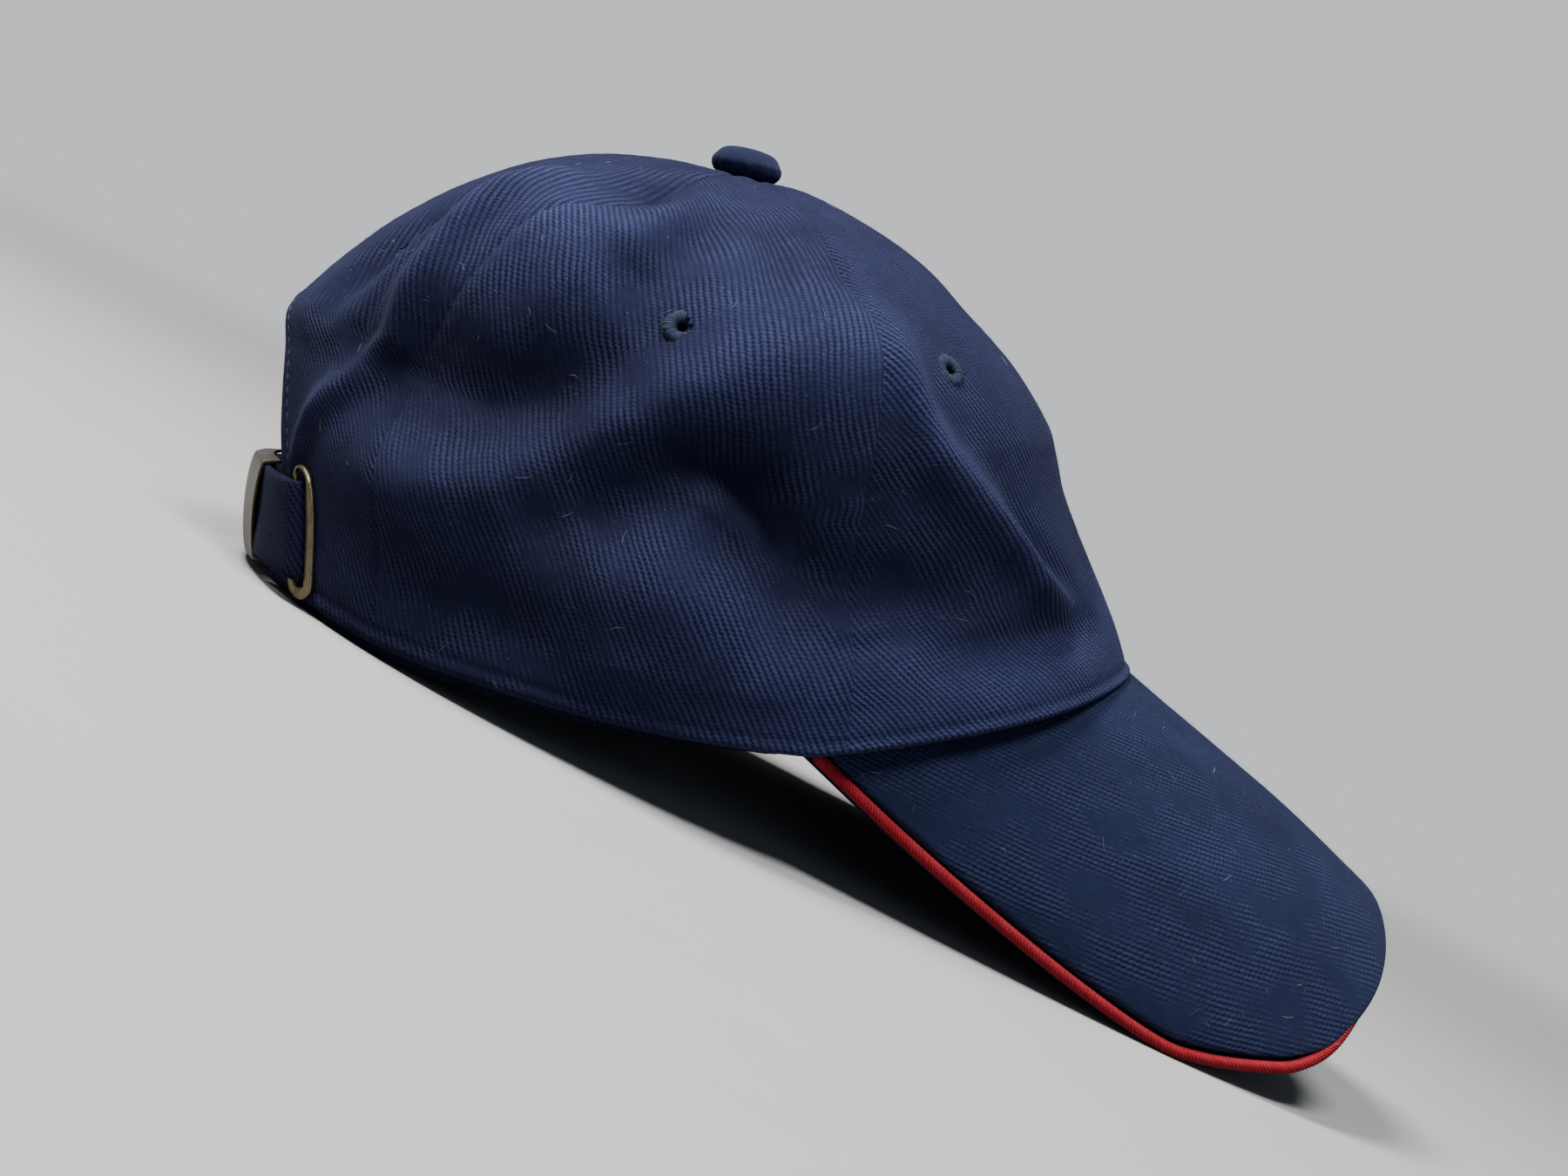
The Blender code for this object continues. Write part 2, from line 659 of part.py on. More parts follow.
def add_sweatband(group, frame):
    """A band inside the rim, open behind where the straps are sewn in."""
    end_turn = abs(back_place(ARCH_HALF_WIDTH + 2 * STRAP_TUCK, 0)[0])

    def place(across, up):
        turn = end_turn * (1 - 2 * across)
        behind_peak = min(max((abs(turn) - CORNER_TURN) / BAND_STEP_TURN, 0), 1)
        foot = share_at(turn, rim_height(turn) + BAND_RISE * (1 - behind_peak))
        head = share_at(turn, rim_height(turn) + BAND_HEIGHT)
        point = crown_point(turn, foot + (head - foot) * up, CLOTH + BAND_GAP)
        return point - Vector((0, 0, BAND_DROP * behind_peak * (1 - up) ** 8))

    made = add_object("sweatband", shaped_grid(52, 3, place), group, frame, DARK_NAVY)
    thicken(made, BAND_CLOTH)


def add_peak(group, frame):
    """The peak's covered board, its under cloth and the piping between their edges."""

    def add_sheet(name, inset, depth, thickness, colour):
        patch = peak_patch(inset, PEAK_COLUMNS, PEAK_ROWS_ALONG)

        def place(across, up):
            column, row = round(across * PEAK_COLUMNS), round(up * PEAK_ROWS_ALONG)
            return peak_point(*patch(column, row), depth)

        sheet = shaped_grid(PEAK_COLUMNS, PEAK_ROWS_ALONG, place)
        made = add_object(name, sheet, group, frame, colour)
        thicken(made, thickness)

    under_depth = PEAK_CLOTH + PEAK_GAP
    add_sheet("peak_top", 2 * PIPING_RADIUS + PEAK_GAP, 0, PEAK_CLOTH, NAVY)
    add_sheet("peak_under", 0, under_depth, UNDER_CLOTH, DARK_NAVY)
    edge = peak_edge(PIPING_RADIUS)
    whole = edge + [point * (-1, 1) for point in reversed(edge[:-1])]
    bead_depth = under_depth - GAP - PIPING_RADIUS
    path = [peak_point(*point, bead_depth) for point in even_points(whole, 50)]
    add_tube("peak_piping", path[1:-1], PIPING_RADIUS, False, group, frame, RED)


def rounded(points):
    """A smooth line that follows the points given and keeps the two ends."""
    points = np.array(points)
    for _ in range(4):
        starts, ends = points[:-1], points[1:]
        cut_points = np.stack([0.75 * starts + 0.25 * ends, 0.25 * starts + 0.75 * ends], axis=1)
        points = np.concatenate([points[:1], cut_points.reshape(-1, points.shape[1]), points[-1:]])
    return points


def add_webbing(name, path, width, count, group, frame):
    """A flat strap round the crown's back. path gives its place across, lift and lean."""
    points = even_points(rounded(path), count + 1)

    def place(across, up):
        x, lift, lean = points[round(across * count)]
        return back_point(x + lean * (2 * up - 1), STRAP_LEVEL + width * (up - 0.5), lift)

    made = add_object(name, shaped_grid(count, 2, place), group, frame, DARK_NAVY)
    thicken(made, STRAP_CLOTH)


def add_straps(group, frame):
    """The long strap, tucked behind the left panel and into the slot, and the short one."""
    behind = -CLOTH - GAP
    over = STRAP_CLOTH + GAP
    crest = over + 2 * RING_WIRE_RADIUS + 2 * GAP
    tuck_end = ARCH_HALF_WIDTH + STRAP_TUCK
    arch_side = ARCH_HALF_WIDTH - STRAP_TUCK
    buckle_left = BUCKLE_ACROSS + BUCKLE_WIDTH / 2
    buckle_right = BUCKLE_ACROSS - BUCKLE_WIDTH / 2
    near_wire = RING_ACROSS + RING_WIDTH / 2 - RING_WIRE_RADIUS
    dive = RING_ACROSS - STRAP_CLOTH / 2
    lean = STRAP_WIDTH / 2 * math.tan(RING_LEAN)
    long_path = [
        (tuck_end, behind, 0),
        (arch_side, behind, 0),
        (arch_side - STRAP_TUCK, behind, 0),
        (buckle_left + STRAP_TUCK / 2, over, 0),
        (buckle_left, over, 0),
        (buckle_right, over, 0),
        (buckle_right - STRAP_TUCK / 2, over, 0),
        (near_wire + 2 * STRAP_CLOTH, crest, lean),
        (dive, crest + GAP, lean),
        (dive, -STRAP_END_DEPTH, lean),
    ]
    add_webbing("back_strap", long_path, STRAP_WIDTH, 34, group, frame)
    pin_side = buckle_left - PIN_INSET - PIN_RADIUS - GAP
    short_path = [
        (-tuck_end, behind, 0),
        (-arch_side, behind, 0),
        (STRAP_TUCK - arch_side, behind, 0),
        (STRAP_RISE + STRAP_TUCK - arch_side, 0, 0),
        (pin_side, 0, 0),
    ]
    add_webbing("buckle_tab", short_path[::-1], STRAP_WIDTH, 12, group, frame)


def add_buckle(group, frame):
    """A bent metal slider over the strap, held by the short strap's bar."""
    last = len(BUCKLE_ROWS) - 1

    def place(across, up):
        row = BUCKLE_ROWS[round(up * last)]
        x = BUCKLE_ACROSS + BUCKLE_WIDTH * (0.5 - across)
        level = STRAP_LEVEL + BUCKLE_HEIGHT / 2 * row.height
        lift = BUCKLE_STAND + BUCKLE_TIP * row.height - BUCKLE_DEPTH * row.depth
        return back_point(x, level, lift)

    made = add_object("buckle", shaped_grid(8, last, place), group, frame, STEEL, 0.35, 1.0)
    thicken(made, BUCKLE_SHEET)
    pin_across = BUCKLE_ACROSS + BUCKLE_WIDTH / 2 - PIN_INSET
    length = BUCKLE_HEIGHT - 2 * BUCKLE_SHEET - 2 * GAP
    pin = add_object("buckle_pin", cylinder(PIN_RADIUS, length, 10), group, frame, STEEL, 0.35, 1.0)
    turn, share = back_place(pin_across, STRAP_LEVEL)
    upright = Matrix.Rotation(math.pi / 2, 4, "X")
    pin.matrix_local = wall_matrix(turn, share, -STRAP_CLOTH / 2) @ upright


def add_slot_ring(group, frame):
    """A metal ring round the slot in the right back panel."""
    half_width = RING_WIDTH / 2 - RING_WIRE_RADIUS
    half_height = RING_HEIGHT / 2 - RING_WIRE_RADIUS
    straight = half_height - half_width
    places = []
    for end in (1, -1):
        for step in range(7):
            angle = math.pi * step / 6
            above = end * (straight + half_width * math.sin(angle))
            places.append((end * half_width * math.cos(angle), above))
        for step in (1, 2, 3):
            places.append((-end * half_width, end * straight * (1 - step / 2)))
    points = [
        back_point(
            RING_ACROSS + aside + above * math.tan(RING_LEAN),
            STRAP_LEVEL + above,
            RING_WIRE_RADIUS + GAP,
        )
        for aside, above in places
    ]
    add_tube("slot_ring", points, RING_WIRE_RADIUS, True, group, frame, BRASS, 0.4, 1.0)


def lay_down(group, frame):
    """Tips the cap on to the lowest points of its rim and peak and centres it."""
    bpy.context.view_layer.update()
    graph = bpy.context.evaluated_depsgraph_get()
    points = []
    for made in group.objects:
        if made.type == "EMPTY":
            continue
        mesh = made.evaluated_get(graph).to_mesh()
        points += [made.matrix_world @ vertex.co for vertex in mesh.vertices]
    points = np.array(points)
    tip = 0.0
    for _ in range(12):
        turned = points @ np.array(Matrix.Rotation(tip, 3, "X").transposed())
        front, back = turned[turned[:, 1] < 0], turned[turned[:, 1] > 0]
        front, back = front[front[:, 2].argmin()], back[back[:, 2].argmin()]
        tip -= math.atan2(back[2] - front[2], back[1] - front[1])
    turned = points @ np.array(Matrix.Rotation(tip, 3, "X").transposed())
    low, high = turned.min(axis=0), turned.max(axis=0)
    frame.rotation_euler = (tip, 0, 0)
    frame.location = (-(low[0] + high[0]) / 2, -(low[1] + high[1]) / 2, -low[2])


def main():
    for existing in list(bpy.data.objects):
        bpy.data.objects.remove(existing)
    group = bpy.data.collections.new("six_panel_cap")
    cutters = bpy.data.collections.new("cutters")
    bpy.context.scene.collection.children.link(group)
    bpy.context.scene.collection.children.link(cutters)
    frame = bpy.data.objects.new("cap_frame", None)
    group.objects.link(frame)
    add_crown(group, cutters, frame)
    add_button(group, frame)
    add_sweatband(group, frame)
    add_peak(group, frame)
    add_straps(group, frame)
    add_buckle(group, frame)
    add_slot_ring(group, frame)
    lay_down(group, frame)


main()
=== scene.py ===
import math

import bpy
import numpy as np
from mathutils import Matrix, Vector, noise


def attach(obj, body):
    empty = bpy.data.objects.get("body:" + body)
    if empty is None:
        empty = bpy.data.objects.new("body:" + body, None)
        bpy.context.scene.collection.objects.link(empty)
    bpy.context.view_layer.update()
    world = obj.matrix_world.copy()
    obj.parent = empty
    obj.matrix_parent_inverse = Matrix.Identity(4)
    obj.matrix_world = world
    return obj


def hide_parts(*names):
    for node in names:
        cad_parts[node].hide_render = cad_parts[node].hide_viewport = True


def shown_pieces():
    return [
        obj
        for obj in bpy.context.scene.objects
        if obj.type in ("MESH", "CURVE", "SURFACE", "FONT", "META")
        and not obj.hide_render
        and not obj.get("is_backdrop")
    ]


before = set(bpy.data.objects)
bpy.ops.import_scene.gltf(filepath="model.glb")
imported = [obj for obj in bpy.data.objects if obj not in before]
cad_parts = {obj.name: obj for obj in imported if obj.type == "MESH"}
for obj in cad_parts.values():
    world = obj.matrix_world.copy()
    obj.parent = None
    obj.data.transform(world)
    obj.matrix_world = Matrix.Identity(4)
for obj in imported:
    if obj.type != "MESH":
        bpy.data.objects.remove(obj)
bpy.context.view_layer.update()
rng = np.random.default_rng(11)
print("stage: frame loaded")

# the cap's form, in the rim's own frame, in metres
crown = {
    "halfWidth": 0.078, "frontReach": 0.1043, "backReach": 0.110, "height": 0.1197,
    "buttonSetback": 0.0178, "rimWave": 0.0043, "foldDepth": 0.010, "cloth": 0.0012,
    "hemShare": 0.08,
}
peak = {
    "cornerTurn": math.radians(77.7), "cornerBend": math.radians(76.6),
    "tilt": math.radians(23.5), "length": 0.1446, "sag": 0.0020, "sagStart": 0.66,
    "cloth": 0.0027, "gap": 0.0005, "underCloth": 0.0014, "pipingRadius": 0.0014,
    "rootGap": 0.0005, "rootTuck": 0.0022, "tipStart": 0.64,
    "tipReach": 0.0034, "reachStart": 0.58, "reachRun": 0.20, "edgeSink": 0.0003,
}
restPose = {"tip": math.radians(-10.6595), "place": (0.002111, 0.028364, 0.016022)}
sides = {"right": 1, "left": -1}  # the wearer's

# columns of the crown's table, from the rim up to the button
crownTable = {
    "share": [0, .10, .20, .30, .35, .40, .50, .60, .70, .80, .90, 1],
    "front": [1.000, .911, .813, .719, .681, .640, .527, .398, .266, .123, -.033, -.133],
    "frontHeight": [0, .148, .294, .438, .518, .598, .720, .816, .910, .971, 1.006, 1.002],
    "side": [1.000, 1.025, 1.038, 1.026, 1.012, .993, .930, .820, .680, .506, .295, .050],
    "sideHeight": [0, .128, .265, .395, .460, .525, .650, .770, .860, .925, .975, 1.000],
    "back": [.928, .938, .968, .988, .994, .958, .865, .755, .627, .482, .327, .197],
    "backHeight": [0, .147, .297, .440, .506, .570, .694, .800, .890, .955, .988, .998],
    "middle": [0, 0, .02, .06, .10, .14, .27, .42, .58, .74, .89, 1.00],
}
rimTable = {
    "degrees": [77.7, 88, 100, 116, 132, 146, 158, 180],
    "height": [1.00, .37, -.20, -.40, -.33, .20, .50, .15],
}
seamTable = {
    "share": [0, .20, .40, .55, .70, .85, 1.0],
    "front": [0] * 7,
    "frontSide": [74.0, 73.2, 71.6, 69.8, 71.0, 68.0, 62.0],
    "sideBack": [133.0, 137.0, 137.7, 134.0, 123.0, 119.0, 118.0],
    "back": [180] * 7,
}
peakTable = {
    "place": list(range(12)),
    "forward": [0, .180, .350, .530, .690, .770, .860, .920, .965, .994, 1, 1],
    "side": [1, 1.020, 1.029, 1.029, 1.014, .978, .904, .834, .718, .496, .262, 0],
}

# each fold's line: turn in degrees (wearer's right above zero), share up, width as a
# share of halfWidth, depth as a share of foldDepth
folds = {
    "upper crest": [(151, .54, .12, .16), (146, .6, .15, .42), (138, .62, .18, .6),
        (130, .6, .19, .64), (122, .585, .18, .6), (116, .6, .14, .4), (112, .65, .11, .22),
        (109, .72, .09, .06)],
    "upper hollow": [(152, .33, .12, -.24), (146, .345, .16, -.7), (139, .35, .18, -.86),
        (131, .35, .18, -.84), (124, .35, .18, -.92), (117, .37, .17, -.9), (111, .42, .15, -.68),
        (107.5, .48, .12, -.42), (107.5, .56, .1, -.2)],
    "long ridge": [(146, .2, .12, .08), (137, .215, .12, .26), (126, .23, .12, .46),
        (121, .25, .12, .52), (116, .295, .12, .54), (111, .35, .13, .54), (105, .42, .14, .52),
        (98, .475, .16, .5), (90, .525, .18, .5), (81, .55, .19, .5), (73, .55, .19, .5),
        (64, .53, .17, .36), (57, .5, .13, .12)],
    "valley": [(119, .215, .1, -.14), (113, .24, .11, -.38), (108, .275, .11, -.56),
        (103, .32, .1, -.6), (98.5, .35, .09, -.62), (95, .355, .09, -.64), (91.5, .33, .1, -.68),
        (88, .28, .12, -.7), (82, .238, .13, -.7), (76, .222, .13, -.7), (69, .212, .13, -.64),
        (61, .2, .13, -.5), (53, .185, .12, -.18)],
    "upper valley": [(93, .4, .13, -.08), (86, .36, .15, -.32), (78, .335, .15, -.38),
        (70, .32, .15, -.36), (62, .31, .13, -.22), (56, .31, .1, -.08)],
    "bulge": [(108, .15, .1, .06), (103, .165, .12, .26), (98, .175, .15, .42), (92, .15, .15, .4),
        (86, .1, .13, .26), (80, .07, .1, .12)],
    "low bulge": [(108, .06, .08, .06), (103, .07, .09, .16), (97, .07, .09, .1)],
    "low hollow": [(128, .1, .11, -.14), (117, .08, .12, -.22), (109, .07, .1, -.12)],
    "lower front ridge": [(88, .12, .1, .04), (80, .125, .1, .12), (68, .125, .1, .1),
        (60, .12, .09, .02)],
    "front ridge": [(65, .6, .06, .06), (65, .52, .06, .22), (63, .45, .064, .36),
        (60, .39, .068, .48), (55, .345, .068, .54), (50, .3, .066, .56), (45.5, .25, .062, .54),
        (41, .2, .058, .42), (34.5, .15, .052, .16)],
    "beside the front ridge": [(45, .31, .05, -.04), (41, .26, .05, -.12), (36, .21, .05, -.14),
        (30, .17, .05, -.06)],
    "front pocket": [(60, .11, .08, -.14), (52, .115, .09, -.36), (44, .115, .08, -.38),
        (36, .11, .08, -.34), (28, .11, .07, -.14)],
    "back groove": [(154, .73, .06, -.1), (157, .62, .07, -.32), (158.5, .53, .07, -.44),
        (159, .45, .07, -.4), (158, .37, .06, -.16)],
    "left ridge": [(-136, .25, .16, .06), (-117, .31, .17, .24), (-103, .44, .18, .2)],
    "left hollow": [(-133, .44, .19, -.3), (-115, .5, .18, -.18)],
    "left valley": [(-97, .36, .13, -.3), (-84, .27, .14, -.34), (-66, .29, .16, -.18)],
    "left front ridge": [(-58, .5, .1, .12), (-45, .31, .1, .22)],
    "left back ridge": [(-150, .62, .08, .14), (-152, .42, .08, .14)],
}
# creases and wrinkles too fine for the solids, in the same columns
creases = {
    "crease lip": [(100, .318, .03, .04), (95, .312, .028, .12), (92, .287, .026, .16),
        (89, .25, .028, .11), (83, .215, .035, .05)],
    "crease": [(98, .352, .028, -.04), (93.8, .345, .026, -.15), (90.4, .305, .026, -.18),
        (87, .265, .028, -.1)],
    "twin ridge near": [(141, .68, .04, .1), (144, .6, .055, .32), (144.5, .53, .058, .46),
        (144, .45, .058, .5), (143, .38, .056, .44), (146, .31, .048, .36), (152, .24, .042, .28),
        (157, .17, .036, .12)],
    "twin groove": [(150, .62, .022, -.05), (151, .53, .022, -.1), (150.5, .45, .022, -.1),
        (150, .37, .02, -.05)],
    "fan ridge one": [(113, .8, .05, .07), (114, .7, .06, .17), (118, .62, .07, .09)],
    "fan hollow one": [(117, .82, .05, -.12), (121, .74, .06, -.26), (126, .66, .06, -.12)],
    "fan ridge two": [(97, .76, .06, .08), (98, .66, .07, .18), (100, .56, .07, .12)],
    "fan hollow two": [(103, .74, .05, -.09), (107, .66, .07, -.34), (112, .58, .08, -.34)],
    "fan hollow three": [(91, .74, .05, -.06), (90, .65, .06, -.15), (90, .57, .06, -.07)],
    "fan ridge four": [(134, .76, .05, .05), (137, .68, .055, .12), (139, .62, .055, .07)],
    "fan hollow five": [(76, .76, .05, -.06), (72, .66, .06, -.13), (70, .57, .055, -.06)],
    "upper dent": [(131, .5, .05, .03), (128, .44, .055, .08), (126, .38, .05, .04)],
    "lower wrinkle": [(82, .19, .03, .03), (74, .165, .03, .06), (66, .175, .03, .03)],
    "lower furrow": [(80, .165, .025, -.02), (73, .14, .025, -.05), (65, .15, .025, -.02)],
    "middle wrinkle": [(80, .36, .03, .02), (74, .335, .03, .05), (68, .335, .03, .02)],
    "pocket lip": [(64, .175, .04, .03), (57, .15, .04, .08), (48, .145, .04, .03)],
    "back dent": [(141, .31, .035, -.02), (136, .27, .04, -.06), (131, .235, .035, -.02)],
    "back wrinkle": [(140, .2, .035, .02), (132, .185, .04, .05), (124, .15, .035, .02)],
    "left crease": [(-99, .36, .03, -.05), (-92, .29, .035, -.11), (-84, .24, .035, -.05)],
    "left front crease": [(-64, .52, .03, .03), (-53, .38, .03, .1), (-42, .26, .03, .04)],
    "left fan": [(-116, .7, .045, -.03), (-114, .56, .05, -.08), (-118, .44, .05, -.03)],
    "left fan two": [(-136, .72, .045, .03), (-139, .58, .045, .07), (-141, .46, .045, .03)],
    "left wrinkle": [(-80, .19, .03, .03), (-70, .17, .03, .06), (-60, .19, .03, .03)],
}


def readColumn(table, column, at):
    # a smooth curve through one column of a table, over the table's first column
    first = next(iter(table))
    keys, values = np.array(table[first], float), np.array(table[column], float)
    at = np.clip(at, keys[0], keys[-1])
    i = np.clip(np.searchsorted(keys, at) - 1, 0, len(keys) - 2)
    low = np.maximum(np.arange(len(keys)) - 1, 0)
    high = np.minimum(np.arange(len(keys)) + 1, len(keys) - 1)
    slopes = (values[high] - values[low]) / (keys[high] - keys[low])
    span = keys[i + 1] - keys[i]
    t = (at - keys[i]) / span
    rise = t * t * (3 - 2 * t)
    bend = slopes[i] * t * (1 - t) ** 2 - slopes[i + 1] * t * t * (1 - t)
    return values[i] + (values[i + 1] - values[i]) * rise + span * bend


def unit(vectors):
    return vectors / np.maximum(np.linalg.norm(vectors, axis=-1, keepdims=True), 1e-12)


def bell(values, middle, width):
    return np.exp(-(((values - middle) / width) ** 2))


def bells(values, rows):
    # soft bumps along a length, each row a height, a place and a width
    return sum(height * bell(values, middle, width) for height, middle, width in rows)


def below(values, edge, width):
    # 1 below the edge, 0 above it, with a soft change
    return 1 / (1 + np.exp((values - edge) / width))


def lengthsAlong(points):
    return np.concatenate([[0], np.cumsum(np.linalg.norm(np.diff(points, axis=0), axis=1))])


def joined(*rows):
    return np.stack(rows, axis=-1)


def atLengths(at, lengths, points):
    return joined(*(np.interp(at, lengths, column) for column in points.T))


def evenPoints(points, count):
    points = np.array(points, float)
    lengths = lengthsAlong(points)
    return atLengths(np.linspace(0, lengths[-1], count), lengths, points)


def rounded(points, passes=4):
    # cuts the corners of a line
    points = np.array(points, float)
    for _ in range(passes):
        starts, ends = points[:-1], points[1:]
        cut = np.stack([0.75 * starts + 0.25 * ends, 0.25 * starts + 0.75 * ends], axis=1)
        points = np.concatenate([points[:1], cut.reshape(-1, points.shape[1]), points[-1:]])
    return points


def ripple(points, size, seed):
    # smooth noise from -1 to 1 over points in metres, with waves about this size
    spots = np.asarray(points).reshape(-1, 3) / size + seed
    return np.array([noise.noise(Vector(spot)) for spot in spots]).reshape(np.shape(points)[:-1])


peakAxis = np.array((0, -math.cos(peak["tilt"]), -math.sin(peak["tilt"])))
peakUp = np.array((0, -math.sin(peak["tilt"]), math.cos(peak["tilt"])))
bendRadius = crown["halfWidth"] * math.sin(peak["cornerTurn"]) / math.sin(peak["cornerBend"])
cornerY = -crown["frontReach"] * math.cos(peak["cornerTurn"])
cornerLevel = float(np.dot((0, cornerY, crown["rimWave"]), peakUp))
cornerAlong = (-cornerY - cornerLevel * math.sin(peak["tilt"])) / math.cos(peak["tilt"])
ridgeLevel = cornerLevel + bendRadius * (1 - math.cos(peak["cornerBend"]))


def peakPoint(across, along, depth=0.0):
    bend, radius = across / bendRadius, bendRadius - depth
    past = np.maximum((along - cornerAlong) / peak["length"] - peak["sagStart"], 0)
    past = past / (1 - peak["sagStart"])
    level = ridgeLevel - bendRadius + radius * np.cos(bend) - peak["sag"] * past**2
    point = level[..., None] * peakUp + along[..., None] * peakAxis
    point[..., 0] += radius * np.sin(bend)
    return point


def rootAlong(across):
    x = bendRadius * np.sin(across / bendRadius)
    y = -crown["frontReach"] * np.sqrt(np.maximum(1 - (x / crown["halfWidth"]) ** 2, 0))
    level = ridgeLevel - bendRadius * (1 - np.cos(across / bendRadius))
    return (-y - level * math.sin(peak["tilt"])) / math.cos(peak["tilt"])


def rimHeight(turn):
    turn = np.abs(turn)
    x = np.clip(crown["halfWidth"] * np.sin(turn) / bendRadius, -1, 1)
    across = bendRadius * np.arcsin(x)
    onPeak = peakPoint(across, rootAlong(across))[..., 2]
    behind = crown["rimWave"] * readColumn(rimTable, "height", np.degrees(turn))
    return np.where(turn < peak["cornerTurn"], onPeak, behind)


def crownForm(turn, share):
    row = {column: readColumn(crownTable, column, share) for column in crownTable}
    forward, sideways = np.cos(turn), np.sin(turn)
    middle = crown["buttonSetback"] * row["middle"]
    end = np.where(forward > 0, -crown["frontReach"] * row["front"],
                   crown["backReach"] * row["back"])
    endHeight = np.where(forward > 0, row["frontHeight"], row["backHeight"])
    rim = rimHeight(turn)
    rise = endHeight * forward**2 + row["sideHeight"] * sideways**2
    x = -crown["halfWidth"] * row["side"] * sideways
    y = middle + (end - middle) * np.abs(forward)
    return joined(x, y, rim + (crown["height"] - rim) * rise)


def formNormal(turn, share):
    step = 0.004
    around = crownForm(turn + step, share) - crownForm(turn - step, share)
    upward = crownForm(turn, np.minimum(share + step, 1))
    upward = upward - crownForm(turn, np.maximum(share - step, 0))
    return unit(np.cross(upward, around))


def formPoint(turn, share, lift):
    return crownForm(turn, share) + formNormal(turn, share) * np.asarray(lift)[..., None]


def foldHeight(turn, share, table=folds):
    radius = crown["halfWidth"] * readColumn(crownTable, "side", share)
    tall = 2 * crown["halfWidth"]
    total = np.zeros(np.shape(turn))
    for rows in table.values():
        offs, depths = [], []
        for row, after in zip(rows, rows[1:]):
            startX, startY = math.radians(row[0]) * radius, row[1] * tall
            runX, runY = math.radians(after[0]) * radius - startX, (after[1] - row[1]) * tall
            hereX, hereY = turn * radius - startX, share * tall - startY
            along = np.clip((hereX * runX + hereY * runY) / (runX**2 + runY**2), 0, 1)
            width = crown["halfWidth"] * (row[2] + (after[2] - row[2]) * along)
            offs.append((np.hypot(hereX - runX * along, hereY - runY * along) / width) ** 2)
            depths.append(crown["foldDepth"] * (row[3] + (after[3] - row[3]) * along))
        nearest = np.min(offs, axis=0)
        weights = np.exp(-4 * np.minimum(offs - nearest, 8))
        total = total + (depths * weights).sum(axis=0) / weights.sum(axis=0) * np.exp(-nearest)
    return total * np.minimum(1, np.minimum(share, 1 - share) / crown["hemShare"])


def crownPoint(turn, share, lift=0.0):
    return formPoint(turn, share, foldHeight(turn, share) + lift)


def seamTurn(seam, share):
    return np.radians(readColumn(seamTable, seam, share))


def shareAt(turn, level):
    low, high = np.zeros(np.shape(turn)), np.ones(np.shape(turn))
    for _ in range(20):
        middle = (low + high) / 2
        under = crownForm(turn, middle)[..., 2] < level
        low, high = np.where(under, middle, low), np.where(under, high, middle)
    return (low + high) / 2


def backPlace(across, level):
    # turn and share of a place behind, given by its side and its height
    across, level = np.broadcast_arrays(np.asarray(across, float), np.asarray(level, float))
    share = level / crown["height"]
    for _ in range(3):
        half = crown["halfWidth"] * readColumn(crownTable, "side", share)
        turn = np.copysign(math.pi - np.arcsin(np.abs(across) / half), -across)
        share = shareAt(turn, level)
    return turn, share


def backPoint(across, level, lift):
    return formPoint(*backPlace(across, level), lift)


restMatrix = Matrix.Translation(restPose["place"]) @ Matrix.Rotation(restPose["tip"], 4, "X")
restTurn = np.array(restMatrix.to_3x3())
restShift = np.array(restMatrix.to_translation())


def toWorld(points):
    return points @ restTurn.T + restShift


# shader helpers, which add nodes to the tree that was made last
current = {"tree": None}


def feed(sockets, **inputs):
    # each input is a value or another node's output socket, and at0 is the first socket
    for name, value in inputs.items():
        socket = sockets[int(name[2:]) if name.startswith("at") else name.replace("_", " ")]
        if isinstance(value, bpy.types.NodeSocket):
            current["tree"].links.new(value, socket)
        else:
            socket.default_value = value


def wire(kind, settings=None, **inputs):
    # adds a node and gives its outputs
    node = current["tree"].nodes.new("ShaderNode" + kind)
    for name, value in (settings or {}).items():
        setattr(node, name, value)
    feed(node.inputs, **inputs)
    return node.outputs


def maths(operation, *values, clamp=False):
    inputs = {f"at{i}": value for i, value in enumerate(values)}
    return wire("Math", {"operation": operation, "use_clamp": clamp}, **inputs)[0]


def times(first, second, clamp=False):
    return maths("MULTIPLY", first, second, clamp=clamp)


def plus(first, second, clamp=False):
    return maths("ADD", first, second, clamp=clamp)


def minus(first, second, clamp=False):
    return maths("SUBTRACT", first, second, clamp=clamp)


def vectorMaths(operation, first, second):
    return wire("VectorMath", {"operation": operation}, at0=first, at1=second)[0]


def scaled(vector, scale):
    return wire("VectorMath", {"operation": "SCALE"}, at0=vector, Scale=scale)[0]


def ranged(value, start, end, low=0.0, high=1.0, **settings):
    return wire("MapRange", settings, Value=value, From_Min=start, From_Max=end, To_Min=low,
                To_Max=high)[0]


def cloud(vector, scale, detail, rough=0.5):
    return wire("TexNoise", Vector=vector, Scale=scale, Detail=detail, Roughness=rough)["Fac"]


def chance(dimensions, **inputs):
    return wire("TexWhiteNoise", {"noise_dimensions": dimensions}, **inputs)["Value"]


def blendColour(factor, first, second):
    # first and second are three numbers or a socket
    ends = [(*end, 1) if isinstance(end, tuple) else end for end in (first, second)]
    return wire("Mix", {"data_type": "RGBA"}, at0=factor, at6=ends[0], at7=ends[1])[2]


